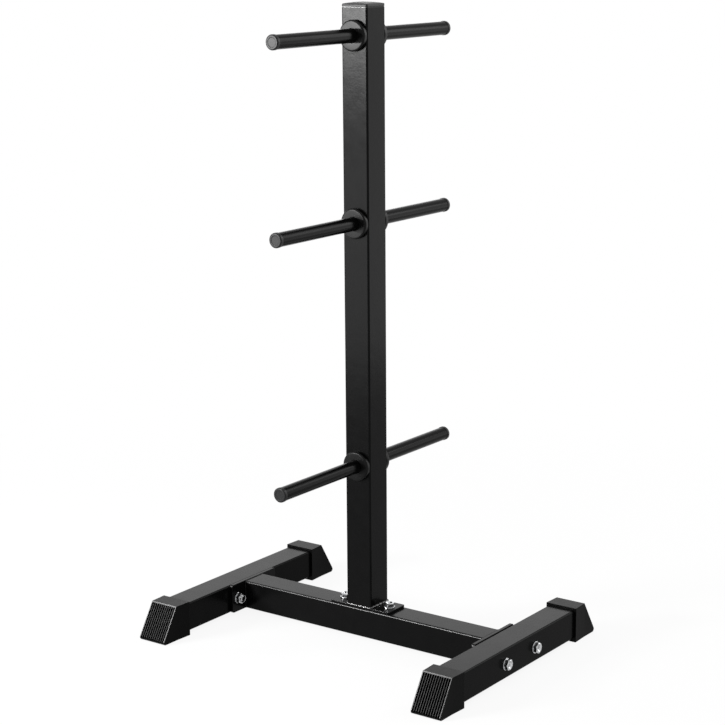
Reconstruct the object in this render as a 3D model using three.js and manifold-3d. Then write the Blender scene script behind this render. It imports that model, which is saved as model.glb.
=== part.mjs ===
// Plate tree: a free-standing rack for weight plates.
// A square mast stands on an H-shaped base of square tube. Three round pegs pass through the mast
// and carry the plates at its front and at its back.
// Millimetres. X runs along the cross beam, Y along the feet and the pegs, Z up.
// The origin is on the floor, under the middle of the mast.

import * as THREE from 'three';
import { mergeVertices } from 'three/addons/utils/BufferGeometryUtils.js';
import Module from 'manifold-3d';

const wasm = await Module();
wasm.setup();

// Square tube that the frame is made of
const tubeSize = 50;
const tubeWall = 2;
const tubeCorner = 3;
const tubeInnerCorner = 1;

// Feet
const floorClearance = 6;
const footSpacing = 558;
const footLength = 396;
const footBoltSpacing = 90;

// Cross beam and its end plates
const endPlateWidth = 120;
const endPlateRise = 1;
const endPlateThickness = 6;
const endPlateCorner = 4;

// Mast, its base plate and its top cap
const mastAboveTopPeg = 45;
const basePlateLength = 120;
const basePlateThickness = 4;
const basePlateCorner = 3;
const mastBoltSpacing = 90;
const topCapFlange = 4;
const topCapCrown = 3;
const topCapSkirt = 15;
const topCapSkirtWall = 2;

// Pegs, heights measured from the floor to the peg's axis
const lowPegHeight = 306;
const middlePegHeight = 712;
const topPegHeight = 1012;
const pegDiameter = 22.7;
const pegWall = 2;
const pegSpan = 470;

// Collars on the pegs
const collarDiameter = 50;
const collarThickness = 8;
const collarEdge = 3;

// End caps of the pegs
const tipFlange = 6.5;
const tipProud = 0.7;
const tipEdge = 2;
const tipDishDiameter = 15;
const tipDishDepth = 0.6;
const tipStem = 14;
const tipStemWall = 2;

// Rubber foot caps: wedge-shaped sleeves with a ribbed, sloping end
const capWall = 4;
const capCorner = 2.5;
const capDraft = 1.6;
const capPocket = 26;
const capTopLength = 31.5;
const capBottomLength = 69;
const capTipRadius = 4;
const ribCount = 11;
const ribWidth = 1.7;
const ribDepth = 2.4;
const ribRim = 2;

// Fasteners
const boltDiameter = 10;
const boltTipChamfer = 1;
const hexAcrossFlats = 16.6;
const headHeight = 6.4;
const headChamfer = 1.2;
const headDishDiameter = 9;
const headDishDepth = 0.8;
const footBoltLength = 70;
const mastBoltLength = 20;
const washerDiameter = 20;
const washerThickness = 2;
const washerBore = 10.5;
const lockNutHeight = 10;
const lockNutCrown = 2.6;
const lockNutCrownDiameter = 14.6;
const lockNutRimWall = 1;
const lockNutDish = 0.6;
const weldNutHeight = 8;

// Weld beads
const weldLeg = 3.5;
const weldRise = 3.5;
const flushWeldLeg = 1.5;

// Fits
const looseFit = 0.3;
const threadFit = 0.15;
const boltHoleDiameter = 11;
const overrun = 1;

// Fineness of round shapes, in steps
const cornerSteps = 3;
const edgeSteps = 2;
const pegSides = 24;
const boltSides = 16;
const crownRings = 3;
const hexSides = 6;

const quarterTurn = Math.PI / 2;
const halfTurn = Math.PI;

// Sizes that follow from those above
const tubeHalf = tubeSize / 2;
const tubeInnerSize = tubeSize - 2 * tubeWall;
const baseAxisHeight = floorClearance + tubeHalf;
const beamTop = floorClearance + tubeSize;
const mastFoot = beamTop + basePlateThickness;
const mastTop = topPegHeight + mastAboveTopPeg;
const mastLength = mastTop - mastFoot;
const footAxis = footSpacing / 2;
const beamLength = footSpacing - tubeSize - 2 * endPlateThickness;
const endPlateHeight = tubeSize + endPlateRise;
const pegRadius = pegDiameter / 2;
const boltRadius = boltDiameter / 2;
const hexCornerRadius = hexAcrossFlats / 2 / Math.cos(Math.PI / hexSides);

const powderCoat = new THREE.MeshStandardMaterial({ color: 0x242426, roughness: 0.42, metalness: 0.35 });
const mouldedPlastic = new THREE.MeshStandardMaterial({ color: 0x1d1d1f, roughness: 0.5, metalness: 0 });
const footRubber = new THREE.MeshStandardMaterial({ color: 0x19191a, roughness: 0.68, metalness: 0 });
const brightZinc = new THREE.MeshStandardMaterial({ color: 0xc4c6c8, roughness: 0.28, metalness: 1 });

// Solids and geometries

function solidFrom(geometry) {
  const bare = geometry.clone();
  bare.deleteAttribute('normal');
  bare.deleteAttribute('uv');
  const merged = mergeVertices(bare);
  const index = merged.getIndex().array;
  const corners = [];
  for (let i = 0; i < index.length; i += 3) {
    const [a, b, c] = [index[i], index[i + 1], index[i + 2]];
    if (a !== b && b !== c && c !== a) {
      corners.push(a, b, c);
    }
  }
  return new wasm.Manifold(new wasm.Mesh({
    numProp: 3,
    vertProperties: new Float32Array(merged.getAttribute('position').array),
    triVerts: new Uint32Array(corners),
  }));
}

function geometryFrom(solid) {
  const mesh = solid.getMesh();
  const geometry = new THREE.BufferGeometry();
  geometry.setAttribute('position', new THREE.BufferAttribute(mesh.vertProperties, 3));
  geometry.setIndex(new THREE.BufferAttribute(mesh.triVerts, 1));
  geometry.computeVertexNormals();
  return geometry;
}

function cutFrom(body, tools) {
  return tools.reduce((rest, tool) => rest.subtract(tool), body);
}

function piece(name, geometry, material) {
  const mesh = new THREE.Mesh(geometry, material);
  mesh.name = name;
  return mesh;
}

// Outlines

function roundedRectangle(width, height, corner, outline = new THREE.Shape()) {
  const x = width / 2;
  const y = height / 2;
  outline.moveTo(-x + corner, -y);
  outline.lineTo(x - corner, -y);
  outline.absarc(x - corner, -y + corner, corner, -quarterTurn, 0, false);
  outline.lineTo(x, y - corner);
  outline.absarc(x - corner, y - corner, corner, 0, quarterTurn, false);
  outline.lineTo(-x + corner, y);
  outline.absarc(-x + corner, y - corner, corner, quarterTurn, halfTurn, false);
  outline.lineTo(-x, -y + corner);
  outline.absarc(-x + corner, -y + corner, corner, halfTurn, halfTurn + quarterTurn, false);
  return outline;
}

function arcPoints(centreX, centreY, radius, startAngle, endAngle) {
  const points = [];
  for (let step = 0; step <= edgeSteps; step += 1) {
    const angle = THREE.MathUtils.lerp(startAngle, endAngle, step / edgeSteps);
    points.push([centreX + radius * Math.cos(angle), centreY + radius * Math.sin(angle)]);
  }
  return points;
}

// Plain forms; each stands on Z = 0 and grows upwards

function prism(outline, height) {
  return new THREE.ExtrudeGeometry(outline, {
    depth: height,
    bevelEnabled: false,
    curveSegments: cornerSteps,
  });
}

function revolve(profile, sides) {
  const points = profile.map(([radius, height]) => new THREE.Vector2(radius, height));
  return new THREE.LatheGeometry(points, sides).rotateX(quarterTurn);
}

function cylinder(radius, height, sides) {
  return revolve([[0, 0], [radius, 0], [radius, height], [0, height]], sides);
}

function ring(innerRadius, outerRadius, height, sides) {
  const profile = [
    [innerRadius, 0],
    [outerRadius, 0],
    [outerRadius, height],
    [innerRadius, height],
    [innerRadius, 0],
  ];
  return revolve(profile, sides);
}

function squareTube(length) {
  const outline = roundedRectangle(tubeSize, tubeSize, tubeCorner);
  outline.holes.push(roundedRectangle(tubeInnerSize, tubeInnerSize, tubeInnerCorner, new THREE.Path()));
  return prism(outline, length);
}

// A round drill that runs past both ends of the given depth
function drill(diameter, depth, sides) {
  return cylinder(diameter / 2, depth + 2 * overrun, sides).translate(0, 0, -overrun);
}

// Mast

function mastTubeGeometry() {
  const heights = [lowPegHeight, middlePegHeight, topPegHeight];
  const holes = heights.map((height) => {
    const hole = drill(pegDiameter + 2 * looseFit, tubeSize, pegSides);
    hole.rotateX(-quarterTurn).translate(0, -tubeHalf, height - mastFoot);
    return solidFrom(hole);
  });
  return geometryFrom(cutFrom(solidFrom(squareTube(mastLength)), holes));
}

function basePlateGeometry() {
  const blank = prism(roundedRectangle(basePlateLength, tubeSize, basePlateCorner), basePlateThickness);
  const holes = [-1, 1].map((side) => {
    const hole = drill(boltHoleDiameter, basePlateThickness, boltSides);
    return solidFrom(hole.translate(side * mastBoltSpacing / 2, 0, 0));
  });
  return geometryFrom(cutFrom(solidFrom(blank), holes));
}

// The plug part hangs down inside the tube, the flange lies on the tube's end and carries a low crown
function topCapGeometry() {
  const flangeOutline = roundedRectangle(tubeSize, tubeSize, tubeCorner);
  const blank = solidFrom(prism(flangeOutline, topCapFlange + topCapCrown));
  const reach = Math.hypot(tubeHalf, tubeHalf);
  const dome = [[0, 0], [reach, 0]];
  for (let step = 0; step <= crownRings; step += 1) {
    const share = 1 - step / crownRings;
    const rise = topCapCrown * (1 - share * share);
    dome.push([reach * share, topCapFlange + rise]);
  }
  const head = blank.intersect(solidFrom(revolve(dome, pegSides)));
  const skirtSize = tubeInnerSize - 2 * looseFit;
  const skirtBore = skirtSize - 2 * topCapSkirtWall;
  const skirtOutline = roundedRectangle(skirtSize, skirtSize, tubeInnerCorner);
  skirtOutline.holes.push(roundedRectangle(skirtBore, skirtBore, tubeInnerCorner, new THREE.Path()));
  const skirt = prism(skirtOutline, topCapSkirt + topCapFlange / 2).translate(0, 0, -topCapSkirt);
  return geometryFrom(head.add(solidFrom(skirt)));
}

// Weld beads: a sloping bead round a tube that stands on a plate

function slopedBar(halfWidth, leg, length) {
  const outline = new THREE.Shape();
  outline.moveTo(-halfWidth - leg, 0);
  outline.lineTo(halfWidth + leg, 0);
  outline.lineTo(halfWidth, weldRise);
  outline.lineTo(-halfWidth, weldRise);
  outline.closePath();
  const bar = prism(outline, 2 * length).translate(0, 0, -length);
  return bar.rotateX(quarterTurn);
}

function weldBead(legX, legY) {
  const edge = tubeHalf + looseFit;
  const reach = tubeSize + weldLeg;
  const alongY = solidFrom(slopedBar(edge, legX - looseFit, reach));
  const alongX = solidFrom(slopedBar(edge, legY - looseFit, reach).rotateZ(quarterTurn));
  const core = prism(roundedRectangle(2 * edge, 2 * edge, tubeCorner + looseFit), weldRise + 2 * overrun);
  return alongY.intersect(alongX).subtract(solidFrom(core.translate(0, 0, -overrun)));
}

// The bead along the front and the back of the mast is thin: the plate is no wider than the tube there
function mastWeldGeometry() {
  return geometryFrom(weldBead(weldLeg, flushWeldLeg));
}

// Local X points down here, because the beam's end plate is flush with the beam at the bottom
function beamWeldGeometry() {
  const bead = weldBead(endPlateRise, weldLeg);
  const below = new THREE.BoxGeometry(tubeSize, 2 * tubeSize, tubeSize);
  return geometryFrom(bead.subtract(solidFrom(below.translate(tubeSize, 0, 0))));
}

// Base

function beamGeometry() {
  const tube = squareTube(beamLength).translate(0, 0, -beamLength / 2).rotateY(quarterTurn);
  const holes = [-1, 1].map((side) => {
    const hole = drill(boltHoleDiameter, tubeWall, boltSides);
    return solidFrom(hole.translate(side * mastBoltSpacing / 2, 0, tubeHalf - tubeWall));
  });
  return geometryFrom(cutFrom(solidFrom(tube), holes));
}

// Local Z is the plate's thickness and local X points down
function endPlateGeometry() {
  const blank = prism(roundedRectangle(endPlateHeight, endPlateWidth, endPlateCorner), endPlateThickness);
  blank.translate(-endPlateRise / 2, 0, 0);
  const holes = [-1, 1].map((side) => {
    const hole = drill(boltHoleDiameter, endPlateThickness, boltSides);
    return solidFrom(hole.translate(0, side * footBoltSpacing / 2, 0));
  });
  return geometryFrom(cutFrom(solidFrom(blank), holes));
}

function footTubeGeometry() {
  const tube = squareTube(footLength).translate(0, 0, -footLength / 2).rotateX(-quarterTurn);
  const holes = [-1, 1].map((side) => {
    const hole = drill(boltHoleDiameter, tubeSize, boltSides);
    hole.rotateY(quarterTurn).translate(-tubeHalf, side * footBoltSpacing / 2, 0);
    return solidFrom(hole);
  });
  return geometryFrom(cutFrom(solidFrom(tube), holes));
}

// Rubber foot cap; local Y points outwards along the foot tube, and Y = 0 is the rim of the sleeve

const capBottom = -tubeHalf - floorClearance;
const capTop = tubeHalf + capWall;
const capHeight = capTop - capBottom;
const capWidth = tubeSize + 2 * capWall;
const capFaceWidth = capWidth - 2 * capDraft;
const capSlopeRun = capBottomLength - capTopLength;
const capSlopeLength = Math.hypot(capSlopeRun, capHeight);
const capSlopeAngle = Math.atan2(capHeight, capSlopeRun);

// Side view of the cap, with the tip rounded where the slope meets the sole
function capSideOutline() {
  const tipSetback = capTipRadius / Math.tan(capSlopeAngle / 2);
  const outline = new THREE.Shape();
  outline.moveTo(0, capBottom);
  outline.lineTo(capBottomLength - tipSetback, capBottom);
  const tip = arcPoints(
    capBottomLength - tipSetback,
    capBottom + capTipRadius,
    capTipRadius,
    -quarterTurn,
    quarterTurn - capSlopeAngle,
  );
  tip.slice(1).forEach(([y, z]) => outline.lineTo(y, z));
  outline.lineTo(capTopLength, capTop);
  outline.lineTo(0, capTop);
  outline.closePath();
  return outline;
}

// Outline of the cap as seen from above: the sleeve draws in a little up to the sloping end
function capPlanOutline() {
  const outline = new THREE.Shape();
  outline.moveTo(capWidth / 2, 0);
  outline.lineTo(capFaceWidth / 2, capTopLength);
  outline.lineTo(capFaceWidth / 2, capBottomLength);
  outline.lineTo(-capFaceWidth / 2, capBottomLength);
  outline.lineTo(-capFaceWidth / 2, capTopLength);
  outline.lineTo(-capWidth / 2, 0);
  return outline;
}

function capGroove(x, width) {
  const length = capSlopeLength - ribRim + overrun;
  const cutter = new THREE.BoxGeometry(width, length, 2 * ribDepth);
  cutter.translate(0, ribRim + length / 2, 0);
  cutter.rotateX(-capSlopeAngle);
  cutter.translate(x, capTopLength, capTop);
  return solidFrom(cutter);
}

function footCapGeometry() {
  const section = prism(roundedRectangle(capWidth, capHeight, capCorner), capBottomLength);
  section.rotateX(-quarterTurn).translate(0, 0, (capTop + capBottom) / 2);
  const side = prism(capSideOutline(), capWidth).rotateX(quarterTurn).rotateZ(quarterTurn);
  const plan = prism(capPlanOutline(), capHeight).translate(0, 0, capBottom);
  const blank = solidFrom(section)
    .intersect(solidFrom(side.translate(-capWidth / 2, 0, 0)))
    .intersect(solidFrom(plan));
  const pocketSize = tubeSize + 2 * looseFit;
  const pocket = prism(roundedRectangle(pocketSize, pocketSize, tubeCorner + looseFit), capPocket + overrun);
  pocket.rotateX(-quarterTurn).translate(0, -overrun, 0);
  const grooveCount = ribCount + 1;
  const grooveWidth = (capFaceWidth - 2 * ribRim - ribCount * ribWidth) / grooveCount;
  const grooves = Array.from({ length: grooveCount }, (unused, place) => {
    const x = -capFaceWidth / 2 + ribRim + grooveWidth / 2 + place * (grooveWidth + ribWidth);
    return capGroove(x, grooveWidth);
  });
  return geometryFrom(cutFrom(blank, [solidFrom(pocket), ...grooves]));
}

// Pegs

function pegTubeGeometry() {
  const length = pegSpan - 2 * tipFlange;
  const tube = ring(pegRadius - pegWall, pegRadius, length, pegSides);
  return tube.translate(0, 0, -length / 2).rotateX(quarterTurn);
}

function collarGeometry() {
  const bore = pegRadius + looseFit;
  const outer = collarDiameter / 2;
  return revolve([
    [bore, 0],
    [outer, 0],
    ...arcPoints(outer - collarEdge, collarThickness - collarEdge, collarEdge, 0, quarterTurn),
    [bore, collarThickness],
    [bore, 0],
  ], pegSides);
}

function tipCapGeometry() {
  const stemRadius = pegRadius - pegWall - looseFit;
  const stemBore = stemRadius - tipStemWall;
  const flangeRadius = pegRadius + tipProud;
  const dishRadius = tipDishDiameter / 2;
  const dishFloor = tipFlange - tipDishDepth;
  return revolve([
    [0, 0],
    [stemBore, 0],
    [stemBore, -tipStem],
    [stemRadius, -tipStem],
    [stemRadius, 0],
    [flangeRadius, 0],
    ...arcPoints(flangeRadius - tipEdge, tipFlange - tipEdge, tipEdge, 0, quarterTurn),
    [dishRadius, tipFlange],
    [dishRadius, dishFloor],
    [0, dishFloor],
  ], pegSides);
}

// Fasteners; Z = 0 is the face that bears on the washer

function hexPrism(height) {
  return solidFrom(cylinder(hexCornerRadius, height, hexSides));
}

function hexBoltGeometry(length) {
  const flatRadius = hexAcrossFlats / 2;
  const dishRadius = headDishDiameter / 2;
  const headForm = revolve([
    [0, 0],
    [hexCornerRadius, 0],
    [hexCornerRadius, headHeight - headChamfer],
    [flatRadius - headChamfer, headHeight],
    [dishRadius, headHeight],
    [dishRadius - headDishDepth, headHeight - headDishDepth],
    [0, headHeight - headDishDepth],
  ], boltSides);
  const shank = revolve([
    [0, -length],
    [boltRadius - boltTipChamfer, -length],
    [boltRadius, -length + boltTipChamfer],
    [boltRadius, headHeight / 2],
    [0, headHeight / 2],
  ], boltSides);
  return geometryFrom(hexPrism(headHeight).intersect(solidFrom(headForm)).add(solidFrom(shank)));
}

function washerGeometry() {
  return ring(washerBore / 2, washerDiameter / 2, washerThickness, boltSides);
}

function threadHole(height) {
  return solidFrom(drill(boltDiameter + 2 * threadFit, height, boltSides));
}

function lockNutGeometry() {
  const crownRadius = lockNutCrownDiameter / 2;
  const shoulder = lockNutHeight - lockNutCrown;
  const dishRadius = crownRadius - lockNutRimWall;
  const crown = revolve([
    [0, shoulder / 2],
    [crownRadius, shoulder / 2],
    [crownRadius, lockNutHeight],
    [dishRadius, lockNutHeight],
    [dishRadius, lockNutHeight - lockNutDish],
    [0, lockNutHeight - lockNutDish],
  ], boltSides);
  return geometryFrom(hexPrism(shoulder).add(solidFrom(crown)).subtract(threadHole(lockNutHeight)));
}

function weldNutGeometry() {
  return geometryFrom(hexPrism(weldNutHeight).subtract(threadHole(weldNutHeight)));
}

// Assembly

const plateTree = new THREE.Group();
const lengthwiseSides = [
  { name: 'front', direction: -1 },
  { name: 'rear', direction: 1 },
];
const crosswiseSides = [
  { name: 'left', direction: -1 },
  { name: 'right', direction: 1 },
];

function addMast() {
  const tube = piece('mast_tube', mastTubeGeometry(), powderCoat);
  tube.position.z = mastFoot;
  const plate = piece('mast_base_plate', basePlateGeometry(), powderCoat);
  plate.position.z = beamTop;
  const weld = piece('mast_weld_bead', mastWeldGeometry(), powderCoat);
  weld.position.z = mastFoot;
  const cap = piece('mast_top_cap', topCapGeometry(), mouldedPlastic);
  cap.position.z = mastTop;
  plateTree.add(tube, plate, weld, cap);
}

function addMastBolt({ name, direction }) {
  const joint = new THREE.Group();
  joint.position.set(direction * mastBoltSpacing / 2, 0, mastFoot);
  const washer = piece(`mast_bolt_washer_${name}`, washerGeometry(), brightZinc);
  const bolt = piece(`mast_bolt_${name}`, hexBoltGeometry(mastBoltLength), brightZinc);
  bolt.position.z = washerThickness;
  const nut = piece(`mast_weld_nut_${name}`, weldNutGeometry(), brightZinc);
  nut.position.z = -basePlateThickness - tubeWall - weldNutHeight;
  joint.add(washer, bolt, nut);
  plateTree.add(joint);
}

function addBeam() {
  const beam = piece('cross_beam', beamGeometry(), powderCoat);
  beam.position.z = baseAxisHeight;
  plateTree.add(beam);
  crosswiseSides.forEach(({ name, direction }) => {
    const end = new THREE.Group();
    end.position.set(direction * beamLength / 2, 0, baseAxisHeight);
    const plate = piece(`beam_end_plate_${name}`, endPlateGeometry(), powderCoat);
    plate.position.x = direction > 0 ? 0 : -endPlateThickness;
    plate.rotation.y = quarterTurn;
    const weld = piece(`beam_weld_bead_${name}`, beamWeldGeometry(), powderCoat);
    weld.rotation.set(0, quarterTurn, direction > 0 ? halfTurn : 0, 'ZYX');
    end.add(plate, weld);
    plateTree.add(end);
  });
}

function addFootBolt(foot, { name, direction }) {
  const joint = new THREE.Group();
  joint.position.set(foot.direction * (footAxis + tubeHalf), direction * footBoltSpacing / 2, baseAxisHeight);
  joint.rotation.y = foot.direction * quarterTurn;
  const label = `${foot.name}_${name}`;
  const outerWasher = piece(`foot_bolt_washer_${label}`, washerGeometry(), brightZinc);
  const bolt = piece(`foot_bolt_${label}`, hexBoltGeometry(footBoltLength), brightZinc);
  bolt.position.z = washerThickness;
  const farSide = -tubeSize - endPlateThickness - washerThickness;
  const innerWasher = piece(`lock_nut_washer_${label}`, washerGeometry(), brightZinc);
  innerWasher.position.z = farSide;
  const nut = piece(`lock_nut_${label}`, lockNutGeometry(), brightZinc);
  nut.position.z = farSide;
  nut.rotation.x = halfTurn;
  joint.add(outerWasher, bolt, innerWasher, nut);
  plateTree.add(joint);
}

function addFootCap(foot, { name, direction }) {
  const cap = piece(`foot_cap_${foot.name}_${name}`, footCapGeometry(), footRubber);
  const rim = footLength / 2 - capPocket;
  cap.position.set(foot.direction * footAxis, direction * rim, baseAxisHeight);
  cap.rotation.z = direction > 0 ? 0 : halfTurn;
  plateTree.add(cap);
}

function addFoot(foot) {
  const tube = piece(`foot_tube_${foot.name}`, footTubeGeometry(), powderCoat);
  tube.position.set(foot.direction * footAxis, 0, baseAxisHeight);
  plateTree.add(tube);
  lengthwiseSides.forEach((side) => {
    addFootCap(foot, side);
    addFootBolt(foot, side);
  });
}

function addPeg(level, height) {
  const tube = piece(`peg_tube_${level}`, pegTubeGeometry(), powderCoat);
  tube.position.z = height;
  plateTree.add(tube);
  lengthwiseSides.forEach(({ name, direction }) => {
    const end = new THREE.Group();
    end.position.z = height;
    end.rotation.x = -direction * quarterTurn;
    const collar = piece(`peg_collar_${level}_${name}`, collarGeometry(), powderCoat);
    collar.position.z = tubeHalf;
    const cap = piece(`peg_end_cap_${level}_${name}`, tipCapGeometry(), mouldedPlastic);
    cap.position.z = pegSpan / 2 - tipFlange;
    end.add(collar, cap);
    plateTree.add(end);
  });
}

addMast();
crosswiseSides.forEach(addMastBolt);
addBeam();
crosswiseSides.forEach(addFoot);
addPeg('low', lowPegHeight);
addPeg('middle', middlePegHeight);
addPeg('top', topPegHeight);

export default plateTree;
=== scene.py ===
"""Plate tree: the finished look of a free-standing rack for weight plates.

A square mast stands on an H-shaped base of square tube. Three round pegs with
collars pass through the mast, and ribbed rubber caps close the feet.
Metres. X runs along the cross beam, Y along the feet and the pegs, Z up.
"""

import contextlib
import functools
import math
from typing import NamedTuple

import bmesh
import bpy
from bpy.props import FloatProperty, FloatVectorProperty, IntProperty, PointerProperty
from mathutils import Matrix, Vector


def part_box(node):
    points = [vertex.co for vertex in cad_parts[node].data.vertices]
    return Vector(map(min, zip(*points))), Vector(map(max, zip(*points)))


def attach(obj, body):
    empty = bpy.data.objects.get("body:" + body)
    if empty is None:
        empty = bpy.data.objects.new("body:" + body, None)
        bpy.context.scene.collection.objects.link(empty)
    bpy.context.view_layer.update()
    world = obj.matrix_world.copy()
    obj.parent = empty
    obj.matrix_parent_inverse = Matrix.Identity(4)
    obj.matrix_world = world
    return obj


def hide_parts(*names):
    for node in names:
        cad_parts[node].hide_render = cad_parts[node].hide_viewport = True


bl_info = {
    "name": "Plate Tree",
    "version": (1, 0, 0),
    "blender": (4, 5, 0),
    "location": "3D View > Sidebar > Plate Tree",
    "description": "Builds the finished pieces and the studio of a plate tree",
    "category": "Object",
}

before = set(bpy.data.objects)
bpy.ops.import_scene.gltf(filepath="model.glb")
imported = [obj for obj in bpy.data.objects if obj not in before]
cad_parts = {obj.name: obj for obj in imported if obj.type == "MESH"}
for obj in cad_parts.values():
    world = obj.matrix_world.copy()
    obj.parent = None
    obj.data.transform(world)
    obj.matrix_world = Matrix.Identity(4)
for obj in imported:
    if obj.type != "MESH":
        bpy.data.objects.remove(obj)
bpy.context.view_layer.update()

MM = 0.001
SIDES = {"left": -1, "right": 1}
ENDS = {"front": -1, "rear": 1}
LEVELS = ("low", "middle", "top")
HALF_TURN = math.pi
QUARTER_TURN = math.pi / 2
FULL_TURN = 2 * math.pi
WHITE = (1.0, 1.0, 1.0, 1.0)

# Fineness of round shapes
CORNER_STEPS, EDGE_STEPS, EASE_STEPS, GROOVE_STEPS = 8, 4, 2, 4
LATHE_SIDES, BORE_SIDES, BEAD_SIDES = 96, 48, 16
LUMP_SEGMENTS, LUMP_RINGS = 16, 10
# steps to one turn of a thread, and to one ripple of a weld bead
THREAD_STEPS, BEAD_STEPS = 6, 20
MERGE_DISTANCE = 1e-7
# edges sharper than these stay sharp to the eye, and are eased where steel is cut
SHARP_ANGLE, EASED_ANGLE = math.radians(35), math.radians(60)
# where the middle station of a small round lies, as a share of its radius
EDGE_MIDDLE = 0.3
# how far the edge of a peg cap's dish drops, as a share of its width
DISH_LIP = 0.4
# how far the cutters of the grooves rise, as a share of the height at which they would meet
CUTTER_RISE = 0.25

# Hexagons
HEX_SECTOR = FULL_TURN / 6
HEX_CHAMFER = math.tan(math.radians(30))

# Weld beads: the seeds and the pace of their wander, and how they swell
MAST_SEED, BEAM_SEEDS = 3.0, {"left": 17.0, "right": 40.0}
WANDER_PACE = 0.45
SWELL_LEAST, SWELL_RANGE = 0.7, 0.6
# how high or how far in their middles lie, as shares of their radius
MAST_LIFT, BEAM_INSET, TOP_SINK = 0.45, 0.4, 0.2
# the thinner run over the beam, as a share of the radius
TOP_THINNESS = 0.5
# where the bead's foot ends and its shoulder begins, as shares of the beam's corner radius
BEAD_FOOT, BEAD_SHOULDER = 0.5, 0.6
# thickness of the lumps on the mast's bead and how deep they sink, as shares of their width
LUMP_THINNESS, LUMP_SINK = 0.5, 1 / 6
# place along the front of the mast and half the length of each lump
FRONT_LUMPS = ((-3.7 * MM, 2.4 * MM), (9.6 * MM, 1.9 * MM), (18.3 * MM, 1.5 * MM))

# How far the bolts are spun
MAST_BOLT_SPINS = {"left": math.radians(14), "right": math.radians(-8)}
FOOT_BOLT_SPIN, FOOT_BOLT_STEP = math.radians(11), math.radians(37)

# The camera's sensor in millimetres, and how near and how far it sees
SENSOR_WIDTH, CLIP_START, CLIP_END = 36.0, 0.05, 500.0
# How far from the object the floor starts to fade to white and is white
FADE_START, FADE_END = 0.5, 1.6
SPECKLE_SCALE, SPECKLE_DETAIL, SPECKLE_HEIGHT = 90.0, 3.0, 0.02 * MM


# Sizes and colours that a user may change


def number(label, default, description, **limits):
    """A property that holds a number."""
    return FloatProperty(name=label, description=description, default=default, **limits)


def length(label, millimetres, description):
    """A length property with its default in millimetres."""
    return number(label, millimetres * MM, description, min=0.0, precision=5, unit="LENGTH")


def angle(label, degrees, description):
    """An angle property with its default in degrees."""
    return number(label, math.radians(degrees), description, subtype="ANGLE")


def index(label, default, description):
    """A refractive index: the higher, the glossier."""
    return number(label + " IOR", default, "Index of " + description, min=1.0)


def strength(label, default, description):
    """The radiance of a lamp's face, where a white wall in plain light has 1."""
    return number(label, default, description, min=0.0)


def colour(label, default, description):
    """A linear colour."""
    return FloatVectorProperty(
        name=label,
        description=description,
        default=default,
        min=0.0,
        max=1.0,
        size=3,
        subtype="COLOR",
    )


class PlateTreeSteel(bpy.types.PropertyGroup):
    """Sizes of the square tube, the plates and the pegs"""

    tube_wall: length("Tube wall", 2.0, "Wall thickness of the square tube")
    tube_corner: length("Tube corner", 3.0, "Outer corner radius of the square tube")
    tube_inner_corner: length("Inner corner", 1.0, "Inner corner radius of the square tube")
    drawn_length: length("Drawn end", 2.2, "Length over which the mast's cut end draws in")
    drawn_depth: length("Drawn depth", 0.5, "How far the mast's cut end draws in")
    cut_edge: length("Cut edge", 0.3, "Rounding that the coating leaves on a cut edge")
    plate_edge: length("Plate edge", 0.6, "Rounding of the edges of the flat plates")
    base_plate_corner: length("Base plate corner", 3.0, "Corner radius of the mast's base plate")
    end_plate_corner: length("End plate corner", 4.0, "Corner radius of the beam's end plates")
    bolt_hole: length("Bolt hole", 11.0, "Diameter of the holes for the bolts")
    peg_diameter: length("Peg diameter", 22.7, "Outer diameter of the peg tubes")
    peg_wall: length("Peg wall", 2.0, "Wall thickness of the peg tubes")
    peg_gap: length("Peg gap", 0.3, "Gap between a peg and the hole in the mast")
    collar_edge: length("Collar edge", 3.0, "Rounding of the collar's outer edge")
    collar_bore_edge: length("Collar bore edge", 0.5, "Rounding of the collar's other edges")


class PlateTreeWelds(bpy.types.PropertyGroup):
    """Sizes of the weld beads"""

    pitch: length("Ripple pitch", 9.5, "Distance from one ripple of a bead to the next")
    ripple: number("Ripple depth", 0.35, "Share of a bead's radius", min=0.0, max=1.0)
    wander: length("Wander", 0.35, "How far a bead strays from its line")
    side_radius: length("Side bead", 2.5, "Radius of the bead along the sides of the mast")
    front_radius: length("Front bead", 1.5, "Radius of the bead along the front of the mast")
    beam_radius: length("Beam bead", 2.2, "Radius of the beads round the ends of the beam")
    lump_width: length("Lump width", 2.6, "Width of the flattened lumps on the front bead")
    lump_lean: angle("Lump lean", 29.5, "How far the lumps face upwards")


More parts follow.
